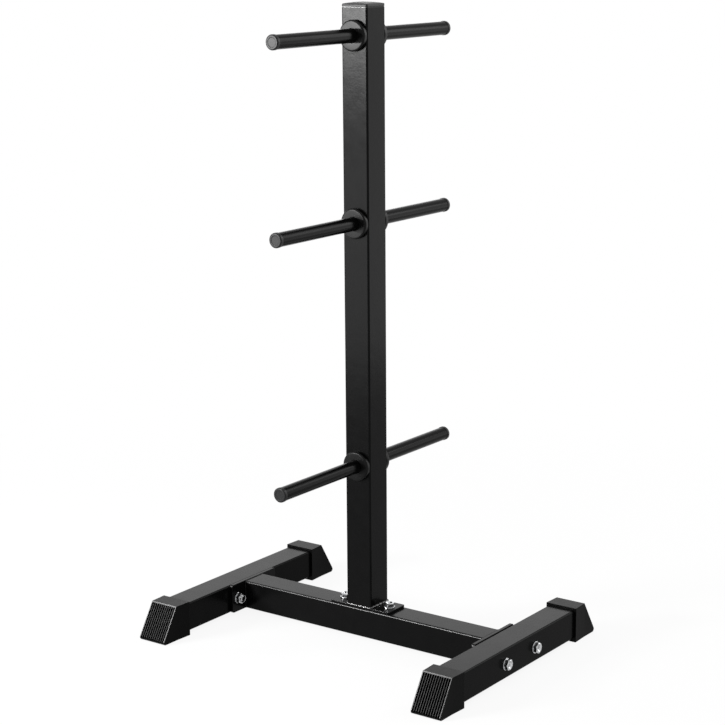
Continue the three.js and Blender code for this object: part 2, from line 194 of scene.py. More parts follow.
class PlateTreeCaps(bpy.types.PropertyGroup):
    """Sizes of the plastic caps and the rubber foot caps"""

    crown: length("Crown", 3.0, "Rise of the mast cap's crown")
    flange: length("Flange", 4.0, "Thickness of the mast cap's flange")
    flange_edge: length("Flange edge", 1.3, "Rounding of the mast cap's edge")
    skirt_wall: length("Skirt wall", 2.0, "Wall of a cap's plug")
    skirt_gap: length("Skirt gap", 0.3, "Gap between a cap and its tube")
    tip_flange: length("Tip flange", 6.5, "Thickness of a peg cap's flange")
    tip_edge: length("Tip edge", 2.0, "Rounding of a peg cap's edge")
    tip_back_edge: length("Tip back edge", 0.4, "Rounding of a peg cap's other edges")
    tip_dish: length("Tip dish", 15.0, "Diameter of the dish in a peg cap")
    tip_dish_depth: length("Tip dish depth", 0.6, "Depth of the dish in a peg cap")
    tip_stem: length("Tip stem", 14.0, "Length of a peg cap's plug")
    foot_wall: length("Foot cap wall", 4.0, "Wall of the foot cap's sleeve")
    foot_corner: length("Foot cap corner", 1.6, "Rounding of the long edges, up and down")
    foot_side_edge: length("Foot cap side edge", 0.5, "Rounding of all edges, sideways")
    foot_draft: length("Foot cap draft", 1.6, "How far each side draws in up to the sloping end")
    foot_pocket: length("Pocket", 26.0, "How far the tube reaches into the foot cap")
    foot_top: length("Top length", 31.5, "Length of the foot cap's top")
    foot_bottom: length("Bottom length", 69.0, "Length of the foot cap's sole to its sharp corner")
    foot_tip: length("Tip radius", 4.65, "Radius of the foot cap's tip")
    foot_edge: length("Foot cap end edge", 0.4, "Rounding of the rim and the sloping end")
    rib_count: IntProperty(name="Ribs", description="Ribs on a foot cap", default=11, min=1)
    rib_width: length("Rib width", 1.7, "Width of a rib at its root")
    rib_crest: length("Rib crest", 1.0, "Width of a rib at its crest")
    rib_depth: length("Rib depth", 3.6, "Height of a rib above the grooves")
    rib_rim: length("Rib rim", 2.0, "Width of the rim at the top and sides of the ribs")
    rib_foot: length("Rib foot", 6.0, "Distance from the ribs to the tip's sharp corner")


class PlateTreeFasteners(bpy.types.PropertyGroup):
    """Sizes of the bolts, nuts and washers"""

    across_flats: length("Across flats", 16.6, "Width of heads and nuts across the flats")
    hex_easing: length("Hexagon easing", 0.25, "How far a hexagon's corners are rubbed down")
    fillet: length("Fillet", 0.3, "Rounding of the edges of heads and nuts")
    bolt_diameter: length("Bolt diameter", 10.0, "Diameter of the bolts")
    thread_pitch: length("Thread pitch", 1.5, "Pitch of the bolts' thread")
    thread_depth: length("Thread depth", 0.8, "Depth of the bolts' thread")
    thread_length: length("Thread length", 26.0, "Length of the threaded part of a bolt")
    thread_end: length("Thread end", 0.5, "Length over which the thread runs out")
    plain_neck: length("Plain neck", 1.0, "Shortest plain length under a head")
    tip_chamfer: length("Tip chamfer", 1.0, "Chamfer of a bolt's tip")
    head_height: length("Head height", 6.4, "Height of a bolt's head")
    head_face: length("Head face", 15.0, "Diameter of the flat on top of a head")
    head_dish: length("Head dish", 11.0, "Diameter of the dish in a head")
    head_dish_floor: length("Head dish floor", 6.6, "Diameter of the dish's flat floor")
    head_dish_depth: length("Head dish depth", 2.8, "Depth of the dish in a head")
    washer_edge: length("Washer edge", 0.5, "Rounding of the washers' edges")
    washer_gap: length("Washer gap", 0.25, "Gap between a washer and its bolt")
    nut_gap: length("Nut gap", 0.15, "Gap between a nut and its bolt")
    nut_shoulder: length("Nut shoulder", 7.4, "Height of the hexagon of a lock nut")
    nut_ledge: length("Nut ledge", 0.35, "Width of the flat ring round a lock nut's crown")
    nut_crown: length("Nut crown", 14.6, "Diameter of the rolled crown of a lock nut")
    crown_draft: length("Crown draft", 0.1, "How far the crown narrows above the shoulder")
    crown_foot: length("Crown foot", 0.25, "Height over which the crown narrows")
    nut_lip: length("Nut lip", 12.0, "Diameter of the opening in the rolled crown")
    insert_gap: length("Insert gap", 0.05, "Gap round a lock nut's plastic ring")
    insert_edge: length("Insert edge", 0.25, "Rounding of the plastic ring")
    insert_depth: length("Insert depth", 0.9, "How far the ring lies below the crown's top")


class PlateTreeFinishes(bpy.types.PropertyGroup):
    """Colours and gloss of the four finishes"""

    coat_dark: colour("Coat, dark", (0.0022, 0.0022, 0.00225), "Darker tone of the powder coat")
    coat_light: colour("Coat, light", (0.0036, 0.0036, 0.00365), "Lighter tone of the powder coat")
    coat_index: index("Coat", 1.13, "the coat")
    edge_index: index("Edge", 1.28, "the coat on edges that lean to the front or the rear")
    side_index: index("Side", 1.09, "the left and right sides of the feet")
    cut_index: index("Cut", 1.75, "the coat on the mast's cut end")
    satin_index: index("Satin", 1.2, "the coat on the collars")
    gloss_index: index("Gloss", 1.65, "the coat on the mast's weld bead")
    plastic_dark: colour("Plastic, dark", (0.006, 0.006, 0.0062), "Darker tone of the plastic")
    plastic_light: colour("Plastic, light", (0.010, 0.010, 0.0103), "Lighter tone of the plastic")
    plastic_index: index("Plastic", 1.26, "the plastic")
    rubber_dark: colour("Rubber, dark", (0.0015, 0.0015, 0.0015), "Darker tone of the rubber")
    rubber_light: colour("Rubber, light", (0.0030, 0.0030, 0.0030), "Lighter tone of the rubber")
    rubber_index: index("Rubber", 1.13, "the rubber")
    rib_index: index("Rib", 1.45, "the rubber on the sloping ends")
    # The zinc's cloudy tone runs from near black to near white: painted reflection, dark and
    # bright patches in the metal's colour that stand in for the dark and bright surroundings it
    # would mirror
    zinc_dark: colour("Zinc, dark", (0.05, 0.052, 0.055), "Darker end of the zinc's cloudy tone")
    zinc_light: colour("Zinc, light", (0.86, 0.87, 0.88), "Lighter end of the zinc's cloudy tone")


class PlateTreeStudio(bpy.types.PropertyGroup):
    """Camera, lamps and floor"""

    camera_place: FloatVectorProperty(
        name="Camera place",
        description="Where the camera stands",
        default=(1.837955, -2.540328, 1.182811),
        subtype="TRANSLATION",
    )
    camera_azimuth: angle("Azimuth", 35.985, "Turn of the camera about the vertical")
    camera_elevation: angle("Elevation", 12.683, "How far the camera looks down")
    camera_roll: angle("Roll", 0.433, "Turn of the camera about its own axis")
    camera_lens: number("Lens", 96.58, "Focal length in millimetres", min=1.0)
    floor_size: number("Floor size", 80.0, "Side of the floor", min=1.0, unit="LENGTH")
    floor_colour: colour("Floor", (0.9, 0.9, 0.9), "Colour of the floor")
    floor_white: number(
        "Floor white", 0.9, "Share of plain white in the floor near the object", min=0.0, max=1.0
    )
    room_light: strength("Room light", 0.35, "Light of the room on matt surfaces")
    key_light: strength("Key lamp", 60.0, "Soft box high at the front left")
    strip_light: strength("Strip lamp", 156.0, "Narrow strip level with the top of the mast")
    front_light: strength("Front panel", 5.4, "Panel on the floor at the front left")
    right_light: strength("Right panel", 1.95, "Panel on the floor at the back right")
    high_light: strength("High right panel", 4.6, "Panel above the right panel")
    back_light: strength("Back lamp", 1.15, "Wide soft box at the back left")
    top_light: strength("Top lamp", 1.0, "Soft box overhead")


def settings(group):
    """The property group of that name on the scene."""
    return getattr(bpy.context.scene, "plate_tree_" + group)


# Frame nodes


def node_size(node):
    """(lowest corner, highest corner, size) of a frame node."""
    low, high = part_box(node)
    return low, high, high - low


def node_middle(node):
    """The middle of a frame node's box."""
    low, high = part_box(node)
    return (low + high) / 2


def face_of(node, axis, direction):
    """Where a node's box ends along an axis, on the side that the direction points to."""
    low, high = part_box(node)
    return getattr(high if direction > 0 else low, axis)


MAST_BOLTS = ["mast_bolt_" + side for side in SIDES]


def foot_bolts(side):
    """The bolts of the foot on that side."""
    return [f"foot_bolt_{side}_{end}" for end in ENDS]


# Outlines and plain forms


def rounded_rectangle(half_x, half_y, corner, centre_y=0.0):
    """Outline of a rectangle with round corners, anticlockwise from the right side."""
    radius = max(corner, MERGE_DISTANCE)
    outline = []
    for quarter, (side_x, side_y) in enumerate(((1, 1), (-1, 1), (-1, -1), (1, -1))):
        for step in range(CORNER_STEPS + 1):
            turn = QUARTER_TURN * (quarter + step / CORNER_STEPS)
            x = side_x * (half_x - radius) + radius * math.cos(turn)
            y = centre_y + side_y * (half_y - radius) + radius * math.sin(turn)
            outline.append((x, y))
    return outline


def level_ring(half_x, half_y, corner, height):
    """A rounded rectangle as a ring of points at that height."""
    return [Vector((x, y, height)) for x, y in rounded_rectangle(half_x, half_y, corner)]


def edge_steps(radius):
    """(inset, setback) pairs along a quarter round from a side to a face."""
    turns = [QUARTER_TURN * step / EDGE_STEPS for step in range(EDGE_STEPS + 1)]
    return [(radius * (1 - math.cos(turn)), radius * (1 - math.sin(turn))) for turn in turns]


def skin(rings, closed=False):
    """Points and faces of a skin over rings of equal length, with flat ends."""
    count = len(rings[0])
    points = [point for ring in rings for point in ring]
    faces = []
    for level in range(len(rings) if closed else len(rings) - 1):
        low, high = level * count, (level + 1) % len(rings) * count
        for place in range(count):
            after = (place + 1) % count
            faces.append((low + place, low + after, high + after, high + place))
    if not closed:
        faces.append(tuple(reversed(range(count))))
        faces.append(tuple(range(len(points) - count, len(points))))
    return points, faces


@contextlib.contextmanager
def edited(mesh):
    """The mesh, open for changes."""
    shape = bmesh.new()
    shape.from_mesh(mesh)
    yield shape
    shape.to_mesh(mesh)
    shape.free()


def split(shape, point, normal):
    """Divides the faces of a shape where a plane crosses them."""
    everything = shape.verts[:] + shape.edges[:] + shape.faces[:]
    bmesh.ops.bisect_plane(shape, geom=everything, plane_co=point, plane_no=normal)


def clean_mesh(name, points, faces, place=None):
    """A closed mesh with merged doubles and its faces pointing outwards."""
    mesh = bpy.data.meshes.new(name)
    matrix = place or Matrix.Identity(4)
    mesh.from_pydata([matrix @ Vector(point) for point in points], [], faces)
    with edited(mesh) as shape:
        bmesh.ops.remove_doubles(shape, verts=shape.verts, dist=MERGE_DISTANCE)
        bmesh.ops.recalc_face_normals(shape, faces=shape.faces)
    return mesh


def lathe(name, profile, closed=False, sides=LATHE_SIDES, place=None):
    """A mesh turned round the Z axis.

    A station of the profile is (radius, height) or a function of the angle that gives them.
    """
    rings = []
    for station in profile:
        ring = []
        for side in range(sides):
            turn = FULL_TURN * side / sides
            radius, height = station(turn) if callable(station) else station
            ring.append(Vector((radius * math.cos(turn), radius * math.sin(turn), height)))
        rings.append(ring)
    return clean_mesh(name, *skin(rings, closed), place)


def round_off(radius, height, edge):
    """Profile stations of a quarter round that ends at that radius and height."""
    return [(radius - inset, height - setback) for inset, setback in edge_steps(edge)]


def loose_object(name, mesh):
    """An object of that mesh in the scene, not yet a finished piece."""
    item = bpy.data.objects.new(name, mesh)
    bpy.context.scene.collection.objects.link(item)
    return item


def modified(mesh, kind, sockets=None, **choices):
    """The mesh after a modifier of that kind, with those choices and node inputs."""
    item = loose_object("work", mesh)
    modifier = item.modifiers.new("work", kind)
    for key, value in choices.items():
        setattr(modifier, key, value)
    for identifier, value in (sockets or {}).items():
        modifier[identifier] = value
    graph = bpy.context.evaluated_depsgraph_get()
    graph.update()
    result = bpy.data.meshes.new_from_object(
        item.evaluated_get(graph), preserve_all_data_layers=True, depsgraph=graph
    )
    bpy.data.objects.remove(item)
    return result


def bored(mesh, cutters):
    """The mesh less each cutter; the cutters are meshes too."""
    for cutter in cutters:
        tool = loose_object("cutter", cutter)
        mesh = modified(mesh, "BOOLEAN", operation="DIFFERENCE", solver="EXACT", object=tool)
        bpy.data.objects.remove(tool)
    return mesh


def drill(diameter, start, end):
    """A round cutter between two points."""
    axis = Vector(end) - Vector(start)
    turn = axis.to_track_quat("Z", "Y").to_matrix().to_4x4()
    profile = [(diameter / 2, 0.0), (diameter / 2, axis.length)]
    return lathe("cutter", profile, sides=BORE_SIDES, place=Matrix.Translation(start) @ turn)


def smooth_rounds(mesh):
    """The mesh with smooth roundings between flats that stay flat."""
    with edited(mesh) as shape:
        for face in shape.faces:
            face.smooth = True
        for edge in shape.edges:
            edge.smooth = edge.is_manifold and edge.calc_face_angle(HALF_TURN) < SHARP_ANGLE
    return modified(mesh, "WEIGHTED_NORMAL", mode="FACE_AREA", keep_sharp=True)


def finish_piece(name, mesh, finish, node=None):
    """Makes the mesh a finished piece, which stands for the node."""
    mesh.name = name
    mesh.materials.clear()
    mesh.materials.append(surface_material(finish))
    piece = loose_object(name, mesh)
    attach(piece, "root")
    if node:
        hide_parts(node)


def dress(node, mesh, finish):
    """Makes the mesh the finished piece of a node, named for what it is made of."""
    finish_piece(f"{node}_{FINISHES[finish].made_of}", mesh, finish, node)


def placed_copy(mesh, matrix):
    """A copy of the mesh, put in its place."""
    copy = mesh.copy()
    copy.transform(matrix)
    return copy


# Node trees


def add_node(tree, kind, inputs=None, **choices):
    """Adds a node, sets its choices and fills its inputs with values or links."""
    node = tree.nodes.new(kind)
    for key, value in choices.items():
        setattr(node, key, value)
    for key, value in (inputs or {}).items():
        if isinstance(value, bpy.types.NodeSocket):
            tree.links.new(value, node.inputs[key])
        else:
            node.inputs[key].default_value = value
    return node


def grow(tree, kind, inputs=None, **choices):
    """The first output of a new node of that kind."""
    return add_node(tree, kind, inputs, **choices).outputs[0]


def sum_of(tree, operation, *values):
    """The result of a sum on values or sockets."""
    return grow(tree, "ShaderNodeMath", dict(enumerate(values)), operation=operation)


def geometry_tree(name, **labels):
    """A geometry node tree with inputs for a geometry, a material and the labels of each kind."""
    tree = bpy.data.node_groups.new(name, "GeometryNodeTree")
    sockets = [("Geometry", "Geometry"), ("Material", "Material")]
    sockets += [(label, kind) for kind, group in labels.items() for label in group]
    for label, kind in sockets:
        tree.interface.new_socket(label, in_out="INPUT", socket_type="NodeSocket" + kind)
    tree.interface.new_socket("Geometry", in_out="OUTPUT", socket_type="NodeSocketGeometry")
    return tree, tree.nodes.new("NodeGroupInput").outputs


def end_tree(tree, geometry, material):
    """Closes the tree: real geometry, the material, and the output."""
    real = grow(tree, "GeometryNodeRealizeInstances", {"Geometry": geometry})
    painted = grow(tree, "GeometryNodeSetMaterial", {"Geometry": real, "Material": material})
    add_node(tree, "NodeGroupOutput", {"Geometry": painted})
    return tree


def run_tree(build, mesh, finish, values):
    """The mesh that a tree makes of a mesh, with its inputs by label; build makes the tree."""
    name = build.__name__
    tree = bpy.data.node_groups.get(name) or build(name)
    given = {"Material": surface_material(finish), **values}
    sockets = {
        socket.identifier: given[socket.name]
        for socket in tree.interface.items_tree
        if socket.in_out == "INPUT" and socket.name in given
    }
    return modified(mesh, "NODES", sockets, node_group=tree)


def square_tube_tree(name):
    """A square tube that stands on the origin and runs along Z."""
    tree, given = geometry_tree(
        name, Float=("Length", "Width", "Wall", "Corner", "Inner Corner"), Int=("Corner Steps",)
    )
    twice_wall = sum_of(tree, "MULTIPLY", given["Wall"], 2.0)
    inner_width = sum_of(tree, "SUBTRACT", given["Width"], twice_wall)
    both = tree.nodes.new("GeometryNodeJoinGeometry")
    for width, corner in ((given["Width"], given["Corner"]), (inner_width, given["Inner Corner"])):
        square = grow(
            tree,
            "GeometryNodeCurvePrimitiveQuadrilateral",
            {"Width": width, "Height": width},
            mode="RECTANGLE",
        )
        inputs = {"Curve": square, "Count": given["Corner Steps"], "Radius": corner}
        tree.links.new(grow(tree, "GeometryNodeFilletCurve", inputs, mode="POLY"), both.inputs[0])
    end = grow(tree, "GeometryNodeFillCurve", {"Curve": both.outputs[0]}, mode="TRIANGLES")
    rise = grow(tree, "ShaderNodeCombineXYZ", {"Z": given["Length"]})
    inputs = {"Mesh": end, "Offset": rise, "Offset Scale": 1.0, "Individual": False}
    whole = tree.nodes.new("GeometryNodeJoinGeometry")
    tree.links.new(grow(tree, "GeometryNodeFlipFaces", {"Mesh": end}), whole.inputs[0])
    body = grow(tree, "GeometryNodeExtrudeMesh", inputs, mode="FACES")
    tree.links.new(body, whole.inputs[0])
    inputs = {"Geometry": whole.outputs[0], "Distance": 10 * MERGE_DISTANCE}
    return end_tree(tree, grow(tree, "GeometryNodeMergeByDistance", inputs), given["Material"])


def weld_bead_tree(name):
    """A rippled weld bead along the edges of the mesh, as thick as their radius attribute."""
    tree, given = geometry_tree(name, Float=("Pitch", "Ripple", "Wander", "Seed"))
    path = grow(tree, "GeometryNodeMeshToCurve", {"Mesh": given["Geometry"]})
    step = sum_of(tree, "DIVIDE", given["Pitch"], BEAD_STEPS)
    fine = grow(tree, "GeometryNodeResampleCurve", {"Curve": path, "Length": step}, mode="LENGTH")
    along = add_node(tree, "GeometryNodeSplineParameter").outputs["Length"]
    beads = sum_of(tree, "DIVIDE", along, given["Pitch"])
    moved = sum_of(tree, "ADD", beads, given["Seed"])
    noise = {"W": moved, "Scale": WANDER_PACE, "Detail": 2.0}
    drift = add_node(tree, "ShaderNodeTexNoise", noise, noise_dimensions="1D").outputs
    centred = grow(
        tree, "ShaderNodeVectorMath", {0: drift["Color"], 1: (0.5, 0.5, 0.5)}, operation="SUBTRACT"
    )
    stray = grow(
        tree, "ShaderNodeVectorMath", {0: centred, "Scale": given["Wander"]}, operation="SCALE"
    )
    bent = grow(tree, "GeometryNodeSetPosition", {"Geometry": fine, "Offset": stray})
    fall = sum_of(tree, "POWER", sum_of(tree, "FRACT", beads), 2.0)
    dip = sum_of(tree, "MULTIPLY", fall, given["Ripple"])
    crest = sum_of(tree, "SUBTRACT", 1.0, dip)
    swell = sum_of(tree, "MULTIPLY_ADD", drift["Fac"], SWELL_RANGE, SWELL_LEAST)
    lump = sum_of(tree, "MULTIPLY", crest, swell)
    radius = grow(tree, "GeometryNodeInputNamedAttribute", {"Name": "radius"}, data_type="FLOAT")
    scale = sum_of(tree, "MULTIPLY", lump, radius)
    circle = {"Resolution": BEAD_SIDES, "Radius": 1.0}
    section = grow(tree, "GeometryNodeCurvePrimitiveCircle", circle)
    inputs = {"Curve": bent, "Profile Curve": section, "Scale": scale, "Fill Caps": True}
    return end_tree(tree, grow(tree, "GeometryNodeCurveToMesh", inputs), given["Material"])


def foot_cap_groove_tree(name):
    """Grooves in a row along X, each from start to end, cut into the mesh between ribs."""
    tree, given = geometry_tree(
        name,
        Vector=("Start", "End"),
        Int=("Count",),
        Float=("Spacing", "Floor Width", "Mouth Width", "Height", "Rounding"),
    )
    ends = {"Start": given["Start"], "End": given["End"]}
    line = grow(tree, "GeometryNodeCurvePrimitiveLine", ends)
    level = grow(tree, "GeometryNodeSetCurveNormal", {"Curve": line}, mode="Z_UP")
    widths = {
        "Height": given["Height"],
        "Bottom Width": given["Mouth Width"],
        "Top Width": given["Floor Width"],
        "Offset": 0.0,
    }
    block = grow(tree, "GeometryNodeCurvePrimitiveQuadrilateral", widths, mode="TRAPEZOID")
    rounding = {"Curve": block, "Count": GROOVE_STEPS, "Radius": given["Rounding"]}
    section = grow(tree, "GeometryNodeFilletCurve", rounding, mode="POLY")
    sweep = {"Curve": level, "Profile Curve": section, "Fill Caps": True}
    groove = grow(tree, "GeometryNodeCurveToMesh", sweep)
    gaps = sum_of(tree, "SUBTRACT", given["Count"], 1.0)
    span = sum_of(tree, "MULTIPLY", gaps, given["Spacing"])
    first = grow(tree, "ShaderNodeCombineXYZ", {"X": sum_of(tree, "MULTIPLY", span, -0.5)})
    step = grow(tree, "ShaderNodeCombineXYZ", {"X": given["Spacing"]})
    places = {"Count": given["Count"], "Start Location": first, "Offset": step}
    row = grow(tree, "GeometryNodeMeshLine", places)
    copies = grow(tree, "GeometryNodeInstanceOnPoints", {"Points": row, "Instance": groove})
    cutters = grow(tree, "GeometryNodeRealizeInstances", {"Geometry": copies})
    meshes = {"Mesh 1": given["Geometry"], "Mesh 2": cutters}
    whole = grow(
        tree, "GeometryNodeMeshBoolean", meshes, operation="DIFFERENCE", solver="EXACT"
    )
    return end_tree(tree, whole, given["Material"])


# Finishes

# Where the gloss of edges begins and is full, by how far the surface leans
LEAN_START, LEAN_FULL = 0.05, 0.22
# Face attribute of the ribs, how much duller they are, and how sharply the sides grow dull
RIB_MARK, RIB_DULLING, SIDE_FALL = "ribbed", 0.35, 8.0
# Layers of noise in the clouds and in the grain
CLOUD_DETAIL, GRAIN_DETAIL = 4.0, 2.0


class Finish(NamedTuple):
    """What a surface is made of and how it looks.

    roughness is the least and the most; grain and wave are the size and the height of the small
    and the large bumps; indices name the refractive indices, and three are those of level,
    leaning and side surfaces.
    """

    slot: str
    made_of: str
    tones: str
    roughness: tuple
    grain: tuple
    wave: tuple
    indices: tuple = ()
    metallic: float = 0.0


COAT_ROUGHNESS = (0.18, 0.25)
COAT_GRAIN, COAT_WAVE = (1.4 * MM, 0.014 * MM), (26 * MM, 0.05 * MM)
MAST_GRAIN, MAST_WAVE = (3.0 * MM, 0.04 * MM), (18 * MM, 0.14 * MM)
FLOWN_WAVE = (18 * MM, 0.03 * MM)


def coat(roughness, grain, wave, indices):
    """Satin black powder coat on steel."""
    return Finish("powder_coat", "steel", "coat", roughness, grain, wave, indices)


FINISHES = {
    # beam, plates and pegs
    "powder_coat": coat(COAT_ROUGHNESS, COAT_GRAIN, COAT_WAVE, ("coat", "edge", "coat")),
    # feet, duller on the sides
    "powder_coat_foot": coat(COAT_ROUGHNESS, COAT_GRAIN, COAT_WAVE, ("coat", "edge", "side")),
    # mast, mottled, and thick and glossy on its cut end
    "powder_coat_mast": coat(COAT_ROUGHNESS, MAST_GRAIN, MAST_WAVE, ("coat", "cut", "coat")),
    # collars, where the coat lies thin and dries satin
    "powder_coat_satin": coat((0.27, 0.33), (0.9 * MM, 0.008 * MM), FLOWN_WAVE, ("satin",)),
    # weld of the mast, where the coat lies thick and flows out glossy
    "powder_coat_thick": coat((0.12, 0.18), (2.2 * MM, 0.006 * MM), FLOWN_WAVE, ("gloss",)),
    "moulded_plastic": Finish(
        slot="moulded_plastic",
        made_of="plastic",
        tones="plastic",
        roughness=(0.32, 0.40),
        grain=(0.6 * MM, 0.005 * MM),
        wave=(12 * MM, 0.02 * MM),
        indices=("plastic",),
    ),
    # matt but for the sloping ends, which come glossy from the mould
    "foot_rubber": Finish(
        slot="foot_rubber",
        made_of="rubber",
        tones="rubber",
        roughness=(0.26, 0.34),
        grain=(0.5 * MM, 0.002 * MM),
        wave=(15 * MM, 0.03 * MM),
        indices=("rubber", "rib", "side"),
    ),
    # clouds of near black and near white base colour, 3 mm across: painted reflection that stands
    # in for the dark and bright surroundings the zinc mirrors
    "bright_zinc": Finish(
        slot="bright_zinc",
        made_of="zinc",
        tones="zinc",
        roughness=(0.12, 0.22),
        grain=(0.7 * MM, 0.004 * MM),
        wave=(3 * MM, 0.03 * MM),
        metallic=1.0,
    ),
}


def edge_gloss(tree, flat_index, edge_index, side_index):
    """An index that rises where the surface leans to the front or the rear, less on ribs.

    It falls to side_index on the left and right sides.
    """
    normal = add_node(tree, "ShaderNodeTexCoord").outputs["Normal"]
    parts = add_node(tree, "ShaderNodeSeparateXYZ", {0: normal}).outputs
    tilt = sum_of(tree, "MULTIPLY", parts["Z"], sum_of(tree, "ABSOLUTE", parts["Y"]))
    ribbed = add_node(tree, "ShaderNodeAttribute", attribute_name=RIB_MARK).outputs["Fac"]
    lean = sum_of(tree, "SUBTRACT", tilt, sum_of(tree, "MULTIPLY", ribbed, RIB_DULLING))
    leaning = {"Value": lean, "From Min": LEAN_START, "From Max": LEAN_FULL}
    leaning.update({"To Min": flat_index, "To Max": edge_index})
    raised = grow(tree, "ShaderNodeMapRange", leaning)
    side = sum_of(tree, "POWER", sum_of(tree, "ABSOLUTE", parts["X"]), SIDE_FALL)
    drop = sum_of(tree, "MULTIPLY", side, flat_index - side_index)
    return sum_of(tree, "SUBTRACT", raised, drop)


def blank_shader(name):
    """(material, tree) of a new material without nodes."""
    material = bpy.data.materials.new(name)
    material.use_nodes = True
    material.node_tree.nodes.clear()
    return material, material.node_tree


def surface_material(name):
    """The material of a finish: a cloudy tone, uneven roughness and two sizes of bump."""
    found = bpy.data.materials.get(name + "_finish")
    if found:
        return found
    finish, values = FINISHES[name], settings("finishes")
    material, tree = blank_shader(name + "_finish")
    place = add_node(tree, "ShaderNodeTexCoord").outputs["Object"]
    waves = {"Vector": place, "Scale": 1 / finish.wave[0], "Detail": CLOUD_DETAIL}
    clouds = grow(tree, "ShaderNodeTexNoise", waves)
    grains = {"Vector": place, "Scale": 1 / finish.grain[0], "Detail": GRAIN_DETAIL}
    peel = grow(tree, "ShaderNodeTexNoise", grains)
    # on the zinc this cloudy tone is painted reflection, dark and bright patches in place of
    # mirrored surroundings; on the other finishes it is their own uneven tone
    dark, light = (getattr(values, finish.tones + end) for end in ("_dark", "_light"))
    mix = {0: clouds, 6: (*dark, 1.0), 7: (*light, 1.0)}
    tone = add_node(tree, "ShaderNodeMix", mix, data_type="RGBA").outputs[2]
    least, most = finish.roughness
    rough = grow(tree, "ShaderNodeMapRange", {"Value": clouds, "To Min": least, "To Max": most})
    wavy = grow(tree, "ShaderNodeBump", {"Height": clouds, "Distance": finish.wave[1]})
    bumps = {"Height": peel, "Distance": finish.grain[1], "Normal": wavy}
    inputs = {"Base Color": tone, "Roughness": rough, "Metallic": finish.metallic}
    inputs["Normal"] = grow(tree, "ShaderNodeBump", bumps)
    indices = [getattr(values, kind + "_index") for kind in finish.indices]
    if len(indices) == 1:
        inputs["IOR"] = indices[0]
    elif indices:
        inputs["IOR"] = edge_gloss(tree, *indices)
    surface = grow(tree, "ShaderNodeBsdfPrincipled", inputs)
    add_node(tree, "ShaderNodeOutputMaterial", {"Surface": surface})
    return material


# Square tubes

# Turns of a tube that stands on the origin to each axis of the frame
TUBE_TURNS = {
    "x": Matrix.Rotation(QUARTER_TURN, 4, "Y"),
    "y": Matrix.Rotation(-QUARTER_TURN, 4, "X"),
    "z": Matrix.Identity(4),
}


def square_tube(node, axis):
    """A square tube that fills the node's box, along that axis of the box."""
    steel = settings("steel")
    low, _, size = node_size(node)
    values = {
        "Length": getattr(size, axis),
        "Width": size.x if axis == "z" else size.z,
        "Wall": steel.tube_wall,
        "Corner": steel.tube_corner,
        "Inner Corner": steel.tube_inner_corner,
        "Corner Steps": CORNER_STEPS,
    }
    mesh = run_tree(square_tube_tree, bpy.data.meshes.new(node), "powder_coat", values)
    start = node_middle(node)
    setattr(start, axis, getattr(low, axis))
    mesh.transform(Matrix.Translation(start) @ TUBE_TURNS[axis])
    return mesh


def bolt_drills(bolts, axis, start, end):
    """Cutters for the holes of those bolts, along that axis from start to end."""
    cutters = []
    for bolt in bolts:
        near, far = node_middle(bolt), node_middle(bolt)
        setattr(near, axis, start)
        setattr(far, axis, end)
        cutters.append(drill(settings("steel").bolt_hole, near, far))
    return cutters


def finish_tube(node, mesh, finish):
    """Eases the tube's cut edges and makes it a finished piece."""
    eased = modified(
        mesh,
        "BEVEL",
        width=settings("steel").cut_edge,
        segments=EASE_STEPS,
        limit_method="ANGLE",
        angle_limit=EASED_ANGLE,
        miter_outer="MITER_ARC",
    )
    dress(node, smooth_rounds(eased), finish)


def peg_heights():
    """The height of each peg's axis by its level."""
    return {level: node_middle("peg_tube_" + level).z for level in LEVELS}


def draw_in_end(mesh, end, half):
    """Draws the outside of an upright tube in over a short length below its cut end."""
    steel = settings("steel")
    kept = 1 - steel.drawn_depth / half
    with edited(mesh) as shape:
        split(shape, (0, 0, end - steel.drawn_length), (0, 0, 1))
        for vert in shape.verts:
            outside = max(abs(vert.co.x), abs(vert.co.y)) > half - steel.tube_wall / 2
            if outside and vert.co.z > end - steel.drawn_length / 2:
                vert.co.xy *= kept


class PLATETREE_OT_mast(bpy.types.Operator):
    """Builds the mast with its holes for the pegs"""

    bl_idname = "plate_tree.mast"
    bl_label = "Mast"

    def execute(self, context):
        steel = settings("steel")
        low, high, _ = node_size("mast_tube")
        hole = steel.peg_diameter + 2 * steel.peg_gap
        cutters = [
            drill(hole, (0, 2 * low.y, height), (0, 2 * high.y, height))
            for height in peg_heights().values()
        ]
        mesh = bored(square_tube("mast_tube", "z"), cutters)
        draw_in_end(mesh, high.z, high.x)
        finish_tube("mast_tube", mesh, "powder_coat_mast")
        return {"FINISHED"}


class PLATETREE_OT_beam(bpy.types.Operator):
    """Builds the cross beam with its holes for the mast's bolts"""

    bl_idname = "plate_tree.beam"
    bl_label = "Cross beam"

    def execute(self, context):
        wall = settings("steel").tube_wall
        top = face_of("cross_beam", "z", 1)
        cutters = bolt_drills(MAST_BOLTS, "z", top - 2 * wall, top + wall)
        finish_tube("cross_beam", bored(square_tube("cross_beam", "x"), cutters), "powder_coat")
        return {"FINISHED"}


class PLATETREE_OT_feet(bpy.types.Operator):
    """Builds both foot tubes with their holes for the bolts"""

    bl_idname = "plate_tree.feet"
    bl_label = "Foot tubes"

    def execute(self, context):
        wall = settings("steel").tube_wall
        for side in SIDES:
            node = "foot_tube_" + side
            low, high, _ = node_size(node)
            cutters = bolt_drills(foot_bolts(side), "x", low.x - wall, high.x + wall)
            finish_tube(node, bored(square_tube(node, "y"), cutters), "powder_coat_foot")
        return {"FINISHED"}


# Flat plates


def rounded_plate(half_x, half_y, corner, thickness, place):
    """A plate on Z = 0 with round corners and rounded edges, put in its place."""
    edges = edge_steps(settings("steel").plate_edge)
    levels = edges[::-1] + [(inset, thickness - setback) for inset, setback in edges]
    rings = [
        level_ring(half_x - inset, half_y - inset, corner - inset, height)
        for inset, height in levels
    ]
    return clean_mesh("plate", *skin(rings), place)


